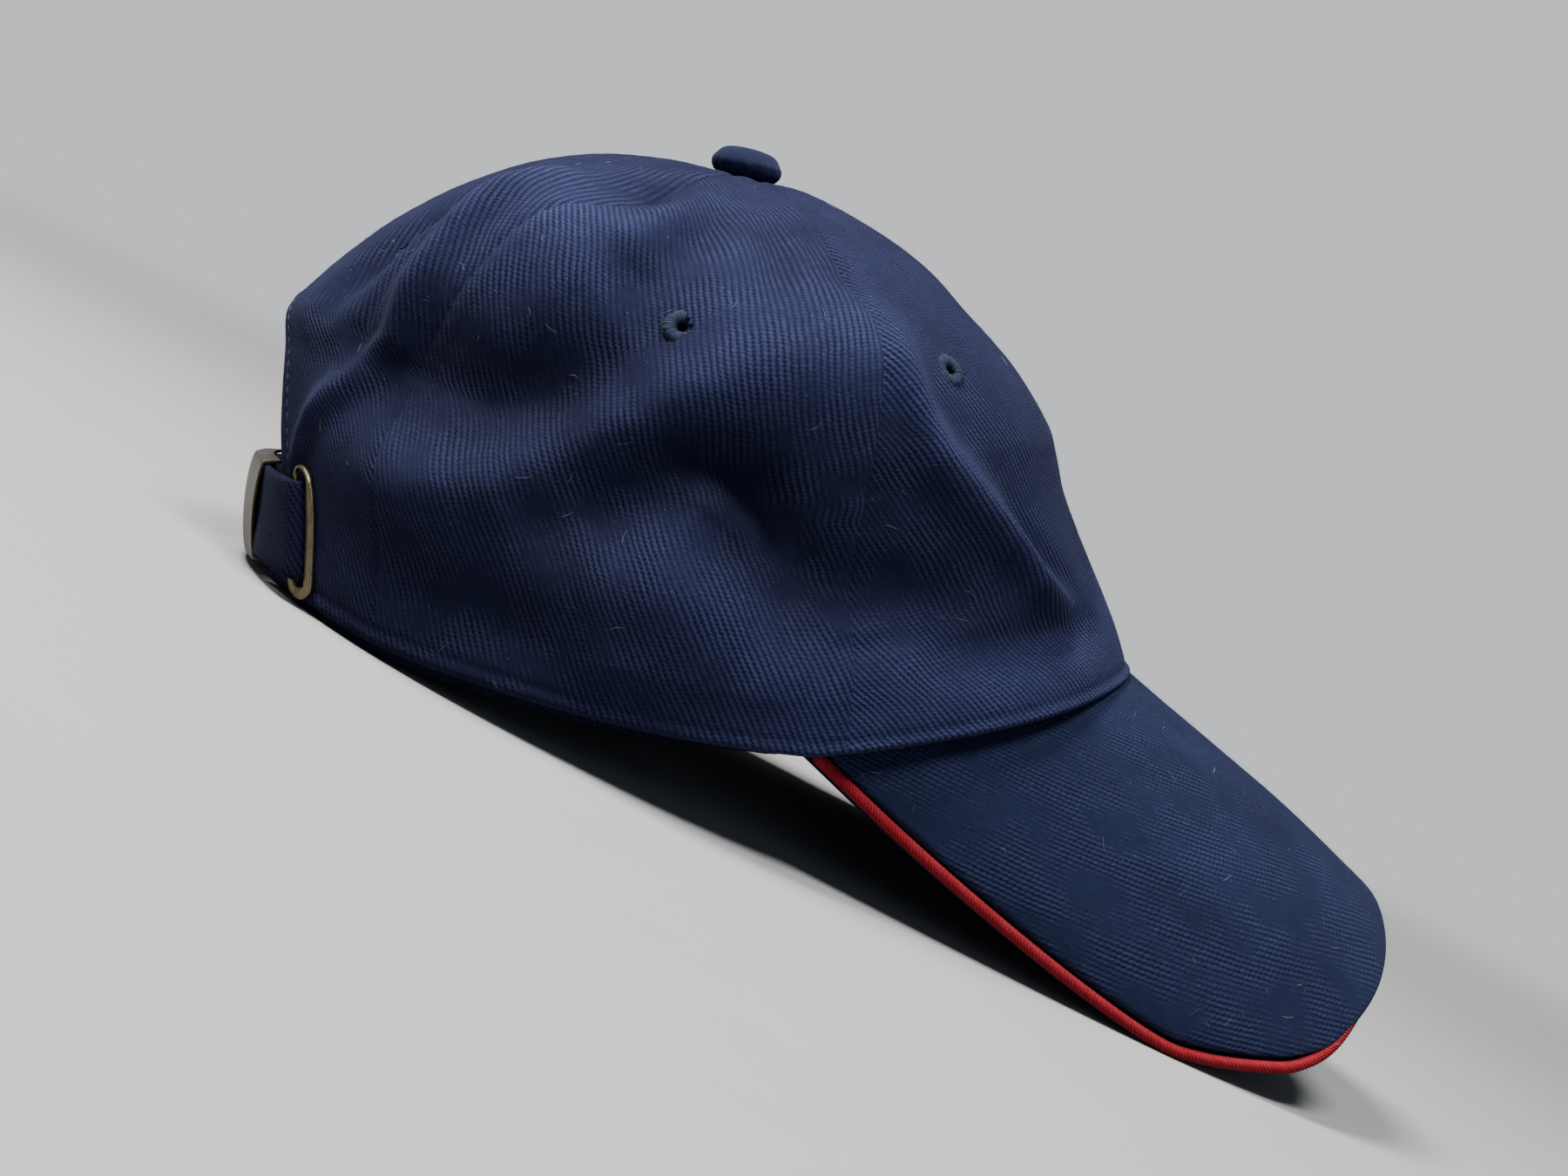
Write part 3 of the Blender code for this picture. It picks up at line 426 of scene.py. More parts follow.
def newGroup(name, inputs, *outputs):
    # an input starts as a number or a colour, or with None as a vector
    group = current["tree"] = bpy.data.node_groups.new(name, "ShaderNodeTree")
    for title, value in inputs.items():
        kind = {float: "Float", tuple: "Color"}.get(type(value), "Vector")
        socket = group.interface.new_socket(title, in_out="INPUT", socket_type="NodeSocket" + kind)
        if value is not None:
            socket.default_value = value
    for title in outputs:
        kind = "NodeSocket" + ("Color" if title == "Color" else "Float")
        group.interface.new_socket(title, in_out="OUTPUT", socket_type=kind)
    given, out = group.nodes.new("NodeGroupInput"), group.nodes.new("NodeGroupOutput")
    return group, given.outputs, out.inputs


def newMaterial(name, **settings):
    made = bpy.data.materials.new(name)
    made.use_nodes = True
    current["tree"] = made.node_tree
    shader = made.node_tree.nodes["Principled BSDF"].inputs
    feed(shader, **settings)
    return made, shader


def setBump(shader, height, distance):
    feed(shader, Normal=wire("Bump", Height=height, Strength=1.0, Distance=distance)[0])


# twill: ridges along one direction, each a row of short threads, with painted highlights on the
# crowns of some threads. Vector is in millimetres.
def makeTwillGroup():
    group, given, out = newGroup(
        "twill weave",
        {"Vector": None, "Direction": 120.0, "Pitch": 1.35, "Thread": 1.0, "Skew": 0.3, "Nap": 0.5},
        "Height", "Ridge", "Spark", "Nap",
    )
    spot = vector = given["Vector"]
    for scale, reach in ((0.055, 1.6), (1.1, 0.5)):  # the ridges wander slowly and fast
        drift = wire("TexNoise", Vector=vector, Scale=scale, Detail=2.0)["Color"]
        drift = vectorMaths("SUBTRACT", drift, (0.5, 0.5, 0.5))
        spot = vectorMaths("ADD", spot, vectorMaths("MULTIPLY", drift, (reach, reach, 0)))
    angle = maths("RADIANS", minus(90.0, given["Direction"]))
    turned = wire("VectorRotate", {"rotation_type": "Z_AXIS"}, Vector=spot, Angle=angle)
    apart = wire("SeparateXYZ", Vector=turned[0])
    count = maths("DIVIDE", apart["X"], given["Pitch"])
    ridgeNumber = maths("FLOOR", count)
    shift = times(chance("1D", W=ridgeNumber), 7.0)
    run = plus(maths("DIVIDE", apart["Y"], given["Thread"]), shift)
    threadNumber = maths("FLOOR", run)
    place = minus(maths("FRACT", run), 0.5)
    side = minus(maths("FRACT", count), 0.5)
    side = plus(side, times(place, given["Skew"]))
    ridge = maths("POWER", times(maths("ABSOLUTE", side), 2.0), 1.3)
    ridge = minus(1.0, ridge, clamp=True)
    gap = maths("POWER", times(maths("ABSOLUTE", place), 2.0), 3.0)
    thread = minus(1.0, times(gap, 0.30), clamp=True)
    height = times(ridge, minus(1.0, times(gap, 0.10)))
    pair = wire("CombineXYZ", X=ridgeNumber, Y=threadNumber)[0]
    lot = maths("POWER", chance("2D", Vector=pair), 2.0)
    fibres = cloud(vector, 2.6, 5.0, 0.7)
    # painted highlight: glints on the crowns of some threads
    paintedGlint = times(maths("POWER", height, 2.5), lot)
    paintedGlint = times(paintedGlint, ranged(fibres, 0.50, 0.66))
    # nap: short fibres that cover the ridges in patches
    patch = ranged(cloud(vector, 0.09, 3.0), 0.42, 0.62)
    cover = times(patch, given["Nap"], clamp=True)
    show = minus(1.0, cover)
    relief = plus(times(height, show), times(cover, 0.40))
    woven = times(times(ridge, thread), show)
    feed(out, Height=plus(relief, times(fibres, 0.35)), Ridge=plus(woven, times(cover, 0.36)),
         Spark=times(paintedGlint, show), Nap=fibres)
    return group


# slow changes of tone over a cloth, and pale specks of dust
def makeToneGroup():
    group, given, out = newGroup(
        "cloth tone",
        {"Vector": None, "Colour": (1, 1, 1, 1), "Variation": 0.3, "Dust": 0.5}, "Color",
    )
    broad = times(cloud(given["Vector"], 0.035, 3.0), 0.65)
    fine = times(cloud(given["Vector"], 0.5, 3.0), 0.35)
    shade = ranged(plus(broad, fine), 0.3, 0.7, -1.0, 1.0)
    shade = plus(1.0, times(shade, given["Variation"]))
    cells = wire("TexVoronoi", Vector=given["Vector"], Scale=0.55, Randomness=1.0)
    few = maths("GREATER_THAN", wire("SeparateXYZ", Vector=cells["Color"])["X"], 0.93)
    dust = times(times(ranged(cells["Distance"], 0.10, 0.03), few), given["Dust"])
    feed(out, Color=blendColour(dust, scaled(given["Colour"], shade), (0.42, 0.43, 0.50)))
    return group


# fine ribs across a cord or round a sewn edge. Vector is in millimetres, ribs cross its Y.
def makeRibGroup():
    group, given, out = newGroup(
        "thread ribs", {"Vector": None, "Pitch": 0.8, "Slant": 0.6, "Rough": 0.3}, "Height", "Lot"
    )
    jitter = cloud(given["Vector"], 1.4, 3.0)
    apart = wire("SeparateXYZ", Vector=given["Vector"])
    run = plus(apart["Y"], times(apart["X"], given["Slant"]))
    run = maths("DIVIDE", plus(run, times(jitter, given["Rough"])), given["Pitch"])
    wave = maths("ABSOLUTE", maths("SINE", times(run, math.pi)))
    feed(out, Height=plus(wave, times(jitter, 0.3)),
         Lot=chance("1D", W=maths("FLOOR", run)))
    return group


# fine scratches and tarnish of metal. Vector is in millimetres.
def makeWearGroup():
    group, given, out = newGroup(
        "metal wear", {"Vector": None, "Grain": 6.0, "Tarnish": 0.4},
        "Height", "Tarnish", "Roughness",
    )
    stretched = vectorMaths("MULTIPLY", given["Vector"], (1, 0.06, 1))
    grain = cloud(stretched, given["Grain"], 4.0)
    stain = ranged(cloud(given["Vector"], 0.45, 5.0, 0.65), 0.48, 0.72)
    stain = times(stain, given["Tarnish"], clamp=True)
    rough = plus(plus(0.26, times(stain, 0.35)), times(grain, 0.16))
    feed(out, Height=grain, Tarnish=stain, Roughness=rough)
    return group


twillGroup, toneGroup = makeTwillGroup(), makeToneGroup()
ribGroup, wearGroup = makeRibGroup(), makeWearGroup()
print("stage: shader groups")

# materials: what a user would change is in each dictionary
# in each cloth, the glint colour is a painted highlight on the crowns of some threads
clothLooks = {
    "crown cloth": {
        "groove": (0.0023, 0.0048, 0.030), "ridge": (0.053, 0.058, 0.144),
        "paintedGlint": (0.15, 0.16, 0.27), "pitch": 1.38, "thread": 1.05, "skew": 0.26,
        "direction": 120.0, "nap": 0.80, "depth": 0.00022, "sheen": 0.10, "dust": 0.5,
        # wear: how far the tone goes paler and darker with the worn share, painted light and shade
        # included
        "wear": 0.42},
    "peak cloth": {
        "groove": (0.0052, 0.0090, 0.036), "ridge": (0.043, 0.054, 0.130),
        "paintedGlint": (0.12, 0.14, 0.22), "pitch": 1.38, "thread": 1.05, "skew": 0.26,
        "direction": 130.0, "nap": 1.0, "depth": 0.00016, "sheen": 0.10, "dust": 0.6},
    "under cloth": {
        "groove": (0.006, 0.008, 0.026), "ridge": (0.022, 0.026, 0.066),
        "paintedGlint": (0.08, 0.09, 0.15), "pitch": 1.2, "thread": 1.1, "skew": 0.3, "direction": 60.0,
        "nap": 0.7, "depth": 0.00014, "sheen": 0.12, "dust": 0.3},
    "band cloth": {
        "groove": (0.005, 0.007, 0.022), "ridge": (0.018, 0.021, 0.054),
        "paintedGlint": (0.07, 0.08, 0.13), "pitch": 0.9, "thread": 1.0, "skew": 0.2, "direction": 70.0,
        "nap": 0.6, "depth": 0.00014, "sheen": 0.12, "dust": 0.3},
    "strap cloth": {
        "groove": (0.0040, 0.0052, 0.021), "ridge": (0.016, 0.017, 0.052),
        "paintedGlint": (0.09, 0.10, 0.17), "pitch": 1.3, "thread": 1.1, "skew": 0.3, "direction": 135.0,
        "nap": 0.5, "depth": 0.00018, "sheen": 0.14, "dust": 0.4},
    "button cloth": {
        "groove": (0.0090, 0.0125, 0.044), "ridge": (0.046, 0.053, 0.120),
        "paintedGlint": (0.10, 0.11, 0.19), "pitch": 0.8, "thread": 0.8, "skew": 0.2, "direction": 60.0,
        "nap": 0.9, "depth": 0.00012, "sheen": 0.18, "dust": 0.4},
}


def makeCloth(name, look):
    made, shader = newMaterial(
        name, Roughness=0.9, Sheen_Weight=look["sheen"], Sheen_Roughness=0.45,
        Sheen_Tint=(0.55, 0.62, 1.0, 1), Specular_IOR_Level=0.12,
    )
    flat = wire("UVMap", {"uv_map": "UVMap"})[0]
    nap, tone = look["nap"], 1.0
    if "wear" in look:  # the nap is rubbed off and the tone paler where worn is high, darker where it is low: real rubbed nap with painted light on fold ridges and the lower front band and painted shade in fold hollows
        wornAndShaded = wire("Attribute", {"attribute_name": "wornAndShaded"})["Fac"]
        nap = ranged(wornAndShaded, 0.0, 1.0, 1.5 * nap, 0.45 * nap)
        tone = ranged(wornAndShaded, 0.0, 1.0, 1 - look["wear"], 1 + look["wear"])
    weave = wire("Group", {"node_tree": twillGroup}, Vector=flat, Direction=look["direction"],
                 Pitch=look["pitch"], Thread=look["thread"], Skew=look["skew"], Nap=nap)
    base = plus(weave["Ridge"], minus(times(weave["Nap"], 0.55), 0.12), clamp=True)
    colour = blendColour(base, look["groove"], look["ridge"])
    # painted highlight on some thread crowns, then the tone
    colour = scaled(blendColour(weave["Spark"], colour, look["paintedGlint"]), tone)
    toned = wire("Group", {"node_tree": toneGroup}, Vector=flat, Colour=colour,
                 Variation=0.28, Dust=look["dust"])
    feed(shader, Base_Color=toned["Color"])
    setBump(shader, weave["Height"], look["depth"])
    return made


cloths = {name: makeCloth(name, look) for name, look in clothLooks.items()}

threadLooks = {
    "eyelet thread": {"colour": (0.017, 0.025, 0.062), "light": (0.055, 0.075, 0.145),
                      "pitch": 0.55, "slant": 0.1, "depth": 0.00010},
    "piping cloth": {"colour": (0.42, 0.008, 0.020), "light": (0.74, 0.034, 0.055),
                     "pitch": 0.92, "slant": 0.75, "depth": 0.00014},
    "pale stitch thread": {"colour": (0.06, 0.065, 0.12), "light": (0.22, 0.23, 0.30),
                           "pitch": 0.3, "slant": 0.6, "depth": 0.00004},
}


def makeThread(name, look):
    made, shader = newMaterial(
        name, Roughness=0.72, Sheen_Weight=0.1, Sheen_Roughness=0.5, Specular_IOR_Level=0.25
    )
    flat = wire("UVMap", {"uv_map": "UVMap"})[0]
    ribs = wire("Group", {"node_tree": ribGroup}, Vector=flat, Pitch=look["pitch"],
                Slant=look["slant"], Rough=0.25)
    factor = plus(times(ribs["Height"], 0.5), times(ribs["Lot"], 0.35), clamp=True)
    feed(shader, Base_Color=blendColour(factor, look["colour"], look["light"]))
    setBump(shader, ribs["Height"], look["depth"])
    return made


threads = {name: makeThread(name, look) for name, look in threadLooks.items()}

metalLooks = {
    "buckle steel": {"clean": (0.78, 0.77, 0.75), "stained": (0.40, 0.38, 0.34), "grain": 5.0,
                     "tarnish": 0.35},
    "buckle brass edge": {"clean": (0.62, 0.46, 0.18), "stained": (0.20, 0.14, 0.06), "grain": 5.0,
                          "tarnish": 0.5},
    "ring brass": {"clean": (0.52, 0.44, 0.25), "stained": (0.15, 0.125, 0.065), "grain": 4.0,
                   "tarnish": 0.9},
    "pin steel": {"clean": (0.55, 0.52, 0.46), "stained": (0.20, 0.17, 0.12), "grain": 5.0,
                  "tarnish": 0.6},
}


def makeMetal(name, look):
    made, shader = newMaterial(name, Metallic=1.0)
    spots = scaled(wire("TexCoord")["Object"], 1000.0)
    wear = wire("Group", {"node_tree": wearGroup}, Vector=spots, Grain=look["grain"],
                Tarnish=look["tarnish"])
    feed(shader, Roughness=wear["Roughness"],
         Base_Color=blendColour(wear["Tarnish"], look["clean"], look["stained"]))
    setBump(shader, wear["Height"], 0.00003)
    return made


metals = {name: makeMetal(name, look) for name, look in metalLooks.items()}
print("stage: materials")


# modelling helpers
def readMesh(rows, name, size=3):
    # one property of every vertex or face
    values = np.empty(len(rows) * size)
    rows.foreach_get(name, values)
    return values.reshape(-1, size)


def setFlat(mesh, flat):
    # flat is each vertex's place on the flat cloth, kept in the UV map in millimetres
    layer = mesh.uv_layers.get("UVMap") or mesh.uv_layers.new(name="UVMap")
    corner = np.empty(len(mesh.loops), np.int32)
    mesh.loops.foreach_get("vertex_index", corner)
    layer.data.foreach_set("uv", (flat * 1000)[corner].astype(np.float32).ravel())


def setPoints(piece, points, flat):
    piece.data.vertices.foreach_set("co", toWorld(points).ravel())
    setFlat(piece.data, flat)


def addObject(name, data):
    made = bpy.data.objects.new(name, data)
    bpy.context.scene.collection.objects.link(made)
    return made


def addPrimitive(name, add, **settings):
    bpy.ops.object.select_all(action="DESELECT")
    add(**settings)
    piece = bpy.context.object
    piece.name = piece.data.name = name
    return piece


def pick(piece):
    bpy.ops.object.select_all(action="DESELECT")
    piece.select_set(True)
    bpy.context.view_layer.objects.active = piece


def addGrid(name, across, up, place, material):
    # a grid bent to a form. place takes the shares across and up it
    piece = addPrimitive(name, bpy.ops.mesh.primitive_grid_add, x_subdivisions=across,
                         y_subdivisions=up, size=1)
    start = readMesh(piece.data.vertices, "co")
    u, w = np.clip(start[:, 0] + 0.5, 0, 1), np.clip(start[:, 1] + 0.5, 0, 1)
    points = place(u, w)
    order = np.lexsort((np.round(u * across), np.round(w * up)))
    table = points[order].reshape(up + 1, across + 1, 3)
    middle = across // 2
    sideways = np.stack([lengthsAlong(row) for row in table])
    sideways -= sideways[:, middle : middle + 1]
    upward = lengthsAlong(table[:, middle])[:, None] * np.ones(across + 1)
    flat = np.empty((len(points), 2))
    flat[order] = joined(sideways, upward).reshape(-1, 2)
    setPoints(piece, points, flat)
    piece.data.materials.append(material)
    return piece


def applied(piece, kind, **settings):
    pick(piece)
    modifier = piece.modifiers.new(kind.lower(), kind)
    for name, value in settings.items():
        setattr(modifier, name, value)
    bpy.ops.object.modifier_apply(modifier=modifier.name)


def thicken(piece, wall, **settings):
    applied(piece, "SOLIDIFY", thickness=wall, offset=-1, use_even_offset=True, **settings)


def soften(piece):
    applied(piece, "SUBSURF", levels=1, render_levels=1)


def deleteFaces(piece, picked):
    # picked says which faces go
    pick(piece)
    bpy.ops.object.mode_set(mode="EDIT")
    bpy.ops.mesh.select_mode(type="FACE")
    bpy.ops.mesh.select_all(action="DESELECT")
    bpy.ops.object.mode_set(mode="OBJECT")
    piece.data.polygons.foreach_set("select", picked)
    bpy.ops.object.mode_set(mode="EDIT")
    bpy.ops.mesh.delete(type="FACE")
    bpy.ops.object.mode_set(mode="OBJECT")


def closeTube(piece):
    pick(piece)
    bpy.ops.object.mode_set(mode="EDIT")
    bpy.ops.mesh.select_all(action="SELECT")
    bpy.ops.mesh.remove_doubles(threshold=0.000002)
    bpy.ops.mesh.normals_make_consistent(inside=False)
    bpy.ops.object.mode_set(mode="OBJECT")


def addBodies(name, bodies, faces, material, slot, flat=None):
    # many small closed bodies in one mesh, all with the same faces
    piece = addPrimitive(name, bpy.ops.mesh.primitive_cone_add, vertices=3)
    count, size = np.shape(bodies)[:2]
    faces = [tuple(i + k * size for i in face) for k in range(count) for face in faces]
    piece.data.clear_geometry()
    piece.data.from_pydata(np.reshape(bodies, (-1, 3)).tolist(), [], faces)
    if flat is not None:
        setFlat(piece.data, np.reshape(flat, (-1, 2)))
    piece.data.materials.append(material)
    closeTube(piece)
    finished(piece, 80, slot)


def finished(piece, degrees, slot, *nodes):
    # smooth up to an angle, riding on the body, in place of the nodes
    pick(piece)
    bpy.ops.object.shade_smooth_by_angle(angle=math.radians(degrees))
    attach(piece, "root")
    if nodes:
        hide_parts(*nodes)


def wallFrame(turn, share, lift):
    # centre and axes of a place on the crown: level, up the wall, outward
    turn, share = np.array([turn], float), np.array([share], float)
    outward = formNormal(turn, share)[0]
    level = unit(np.cross((0, 0, 1), outward))
    centre = crownForm(turn, share)[0] + outward * lift
    return centre, np.array([level, np.cross(outward, level), outward])


# eyelets' places, each a turn in degrees and a share up
eyelet = {"radius": 0.0040, "holeRadius": 0.0011, "clear": 0.0009, "thickness": 0.0019,
          "threads": 38, "threadDepth": 0.13, "spread": 0.05, "around": 136, "section": 14}
eyeletPlaces = {"front": (50.8, 0.512), "side": (104.0, 0.525), "back": (159.0, 0.500)}


def eyeletFrame(kind, side):
    degrees, share = eyeletPlaces[kind]
    turn = side * math.radians(degrees)
    lift = float(foldHeight(np.array([turn]), np.array([share]))[0]) - crown["cloth"] / 2
    return wallFrame(turn, share, lift)


# the six panels. Rows of seam, hem and archEdge are a height, a place and a width
panelSeams = {"front": ("front", "frontSide"), "side": ("frontSide", "sideBack"),
              "back": ("sideBack", "back")}
panel = {
    "columns": 116, "rows": 148, "climb": 1.45 * crown["height"],
    "seam": [(-0.00030, 0, 0.0008), (0.00015, 0.0030, 0.0016)],
    "pucker": 0.00007, "puckerLength": 0.0046, "puckerFade": 0.004,
    "hemRoll": 0.0005, "hemSize": 0.0013, "sideRoll": 0.0002, "hemRipple": 0.006,
    "hem": [(-0.0014, 0, 0.0008), (-0.00022, 0.00403, 0.0009)],
    "flare": 0.0048, "flareSize": 0.019, "flareTurns": (0.62, 1.62),
    "wave": 0.00045, "waves": [(0.7, 0.022, 3.0), (0.35, 0.010, 9.0)],  # share, size and seed
    "foldedEdge": 0.0004, "foldWidth": 0.0052, "edgeStitch": 0.0044,
    "archEdge": [(-0.0004, 0.0044, 0.0006), (-0.0008, 0, 0.0006)], "archSeamGap": 0.002,
}
arch = {"halfWidth": 0.026, "height": 0.061}
strap = {"level": 0.0164, "width": 0.021, "cloth": 0.0014, "tuck": 0.005, "rise": 0.010,
         "gap": 0.0003, "edge": 0.0002, "bulge": 0.0014, "endDepth": 0.0008, "rows": 16}
ring = {"across": -0.0388, "height": 0.0280, "lean": math.radians(10), "width": 0.0070,
        "wire": 0.0009, "narrow": 0.8, "broad": 0.75, "pinch": 0.35, "flat": 0.62, "dent": 0.03,
        "slotWidth": 0.0036, "slotHeight": 0.0230}


def archEdge(spread, count=400):
    # the back opening's edge from the rim to its top, on the wearer's right, spread outwards
    angle = np.linspace(0, math.pi / 2, count)
    across = -(arch["halfWidth"] + spread) * np.cos(angle)
    level = (arch["height"] + spread) * np.sin(angle)
    return joined(*backPlace(np.minimum(across, -1e-6), np.maximum(level, 1e-6)))


def backEdge(count=700):
    # the back panel's inner side: up the arch, then up the back seam to the button
    curve = archEdge(0.0)
    seam = joined(np.full(200, math.pi), np.linspace(curve[-1, 1], 1, 200))
    line = np.concatenate([curve, seam[1:]])
    lengths = lengthsAlong(crownForm(line[:, 0], line[:, 1]))
    return atLengths(np.linspace(0, lengths[-1], count), lengths, line)


backLine = backEdge()


def panelPlaces(kind, u, w):
    # turn (as on the wearer's right) and share for shares across and up a panel, from the back
    across = u - 0.50 * np.sin(2 * math.pi * u) / (2 * math.pi)
    upward = 0.35 * w + 0.65 * w**1.5
    start, low = (seamTurn(seam, upward) for seam in panelSeams[kind])
    lowShare = upward
    if kind == "back":
        low, lowShare = atLengths(upward, np.linspace(0, 1, len(backLine)), backLine).T
    return low + (start - low) * across, lowShare + (upward - lowShare) * across, across


def panelLift(turn, share, across, kind, side):
    # everything finer than the main folds
    form = crownForm(side * turn, share)
    first, last = (crownForm(seamTurn(seam, share), share) for seam in panelSeams[kind])
    width = np.linalg.norm(first - last, axis=-1)
    rise, turn = share * panel["climb"], np.abs(turn)
    lift = foldHeight(side * turn, share, creases)
    wave = sum(part * ripple(form, size, seed) for part, size, seed in panel["waves"])
    lift += panel["wave"] * wave * np.minimum(1, np.minimum(rise / 0.012, (1 - share) / 0.1))
    archGap = 1.0
    if kind == "back":
        x, level = form[..., 0] / arch["halfWidth"], form[..., 2] / arch["height"]
        spot = np.hypot(x, level)
        slope = np.hypot(x / arch["halfWidth"], level / arch["height"]) / np.maximum(spot, 1e-6)
        archGap = np.maximum((spot - 1) / slope, 0)
        lift += panel["foldedEdge"] * below(archGap, panel["foldWidth"], 0.0003)
        lift += bells(archGap, panel["archEdge"])
    seamed = np.where(archGap < panel["archSeamGap"], 0.0, 1.0)
    pucker = 2 * math.pi * rise / panel["puckerLength"] + 2.2 * ripple(form, 0.012, 5.0)
    pucker = panel["pucker"] * np.cos(pucker)
    for gap in (across * width, (1 - across) * width):
        lift += seamed * (bells(gap, panel["seam"]) + pucker * np.exp(-gap / panel["puckerFade"]))
    front = below(turn, peak["cornerTurn"], 0.03)
    roll = panel["hemRoll"] * front + panel["sideRoll"] * (1 - front)
    start, end = panel["flareTurns"]
    flare = panel["flare"] * below(turn, end, 0.09) * below(-turn, -start, 0.09)
    lift += flare * bell(rise, 0, panel["flareSize"]) + bells(rise, panel["hem"])
    edge = ripple(form, panel["hemRipple"], 2.0) * bell(rise, 0, panel["hemRipple"])
    return lift + roll * (bell(rise, panel["hemSize"], panel["hemSize"]) + 0.25 * edge)


# worn share of the crown cloth: rubbed nap together with painted light on fold ridges and the lower
# front band, painted shade in fold hollows, and a darker low back
wear = {"base": 0.42, "lowBackDarkening": 0.16, "ridges": 0.88, "hollows": 0.76, "paintedFrontLight": 0.65,
        "bandTop": 0.13, "bandEnd": 1.55, "backStart": 1.8, "backTop": 0.26}


def wornAndShadedShare(turn, share):
    # 0 where the nap is whole and the tone darkest, as in the fold hollows, to 1 where it is rubbed
    # off and the tone palest; along with the real rubbed nap this paints shade into the fold
    # hollows and light onto the fold ridges and the lower front band, and darkens the low sides and
    # back
    fold = (foldHeight(turn, share) + foldHeight(turn, share, creases)) / crown["foldDepth"]
    # fold ridges rubbed and painted lighter, fold hollows painted darker
    rubbedAndShaded = wear["base"] + np.where(fold > 0, wear["ridges"], wear["hollows"]) * fold
    turn = np.abs(turn)
    # painted light: the lower front band is made paler
    band = below(turn, wear["bandEnd"], 0.07) * below(share, wear["bandTop"], 0.02)
    # darker low on the sides and back
    back = below(-turn, -wear["backStart"], 0.12) * below(share, wear["backTop"], 0.05)
    return np.clip(rubbedAndShaded + wear["paintedFrontLight"] * band - wear["lowBackDarkening"] * back, 0, 1)


def makePanel(kind, word):
    side, name, wornAndShaded = sides[word], f"{kind}_panel_{word}", []

    def place(u, w):
        turn, share, across = panelPlaces(kind, u if side > 0 else 1 - u, w)
        wornAndShaded.append(wornAndShadedShare(side * turn, share))
        return crownPoint(side * turn, share, panelLift(turn, share, across, kind, side))

    def facesFrom(centre, axes):
        off = readMesh(piece.data.polygons, "center") - toWorld(centre)
        return (off @ (axes @ restTurn.T).T).T

    piece = addGrid(name, panel["columns"], panel["rows"], place, cloths["crown cloth"])
    # the worn attribute carries the rubbed nap and the painted light and shade
    piece.data.attributes.new("wornAndShaded", "FLOAT", "POINT").data.foreach_set("value", wornAndShaded[0])
    level, up, _ = facesFrom(*eyeletFrame(kind, side))
    picked = np.hypot(level, up) < eyelet["holeRadius"] + eyelet["clear"]
    if name == "back_panel_right":  # the slot inside the ring
        turn, share = backPlace(np.array([ring["across"]]), np.array([strap["level"]]))
        level, up, _ = facesFrom(*wallFrame(turn[0], share[0], 0.0))
        aside = level * math.cos(ring["lean"]) + up * math.sin(ring["lean"])
        above = up * math.cos(ring["lean"]) - level * math.sin(ring["lean"])
        picked |= (np.abs(aside) < ring["slotWidth"] / 2) & (np.abs(above) < ring["slotHeight"] / 2)
    deleteFaces(piece, picked)
    thicken(piece, crown["cloth"])
    finished(piece, 60, "crown_cloth", name)
    return piece


panels = [makePanel(kind, word) for kind in panelSeams for word in sides]
print("stage: panels")


# eyelets: one sewn ring, copied with its own mesh
def makeEyelets():
    wireRadius = (eyelet["radius"] - eyelet["holeRadius"]) / 2
    middle = eyelet["radius"] - wireRadius
    first = addPrimitive("eyelet", bpy.ops.mesh.primitive_torus_add, major_radius=middle,
                         minor_radius=wireRadius, major_segments=eyelet["around"],
                         minor_segments=eyelet["section"])
    x, y, z = readMesh(first.data.vertices, "co").T
    angle, off = np.arctan2(y, x), np.hypot(x, y) - middle
    lots = rng.uniform(-1, 1, eyelet["threads"])
    count = angle / (2 * math.pi) * eyelet["threads"]
    lot = lots[np.floor(count).astype(int) % eyelet["threads"]]
    ridge = 1 - np.abs(2 * (count - np.floor(count)) - 1) ** 2.2
    grow = 0.90 + eyelet["threadDepth"] * ridge + eyelet["spread"] * lot
    reach = middle + off * grow * (1 + np.where(off > 0, 2, 1) * eyelet["spread"] * lot)
    points = joined(reach * np.cos(angle), reach * np.sin(angle),
                     z * grow * eyelet["thickness"] / (2 * wireRadius))
    flat = joined(np.arctan2(z, off) * wireRadius, angle * middle)
    first.data.materials.append(threads["eyelet thread"])
    for kind in eyeletPlaces:
        for word, side in sides.items():
            name = f"eyelet_{kind}_{word}"
            copy = addObject(name, first.data.copy())
            copy.data.name = name
            centre, axes = eyeletFrame(kind, side)
            spin = np.array(Matrix.Rotation(float(rng.uniform(0, 6)), 3, "Z"))
            setPoints(copy, points @ spin.T @ axes + centre, flat)
            finished(copy, 80, "eyelet_thread", name)
    bpy.data.objects.remove(first)


makeEyelets()
print("stage: eyelets")

# the button on top
button = {"radius": 0.0084, "height": 0.0066, "tilt": math.radians(2.8), "seat": 0.0002,
          "gathers": 15, "gatherDepth": 0.00022, "waist": 0.00035}
buttonTable = {
    "place": list(range(9)),
    "radius": [0, .36, .66, .87, .98, 1.00, .93, .76, 0],
    "height": [1, .985, .91, .74, .50, .32, .12, 0, 0],
}


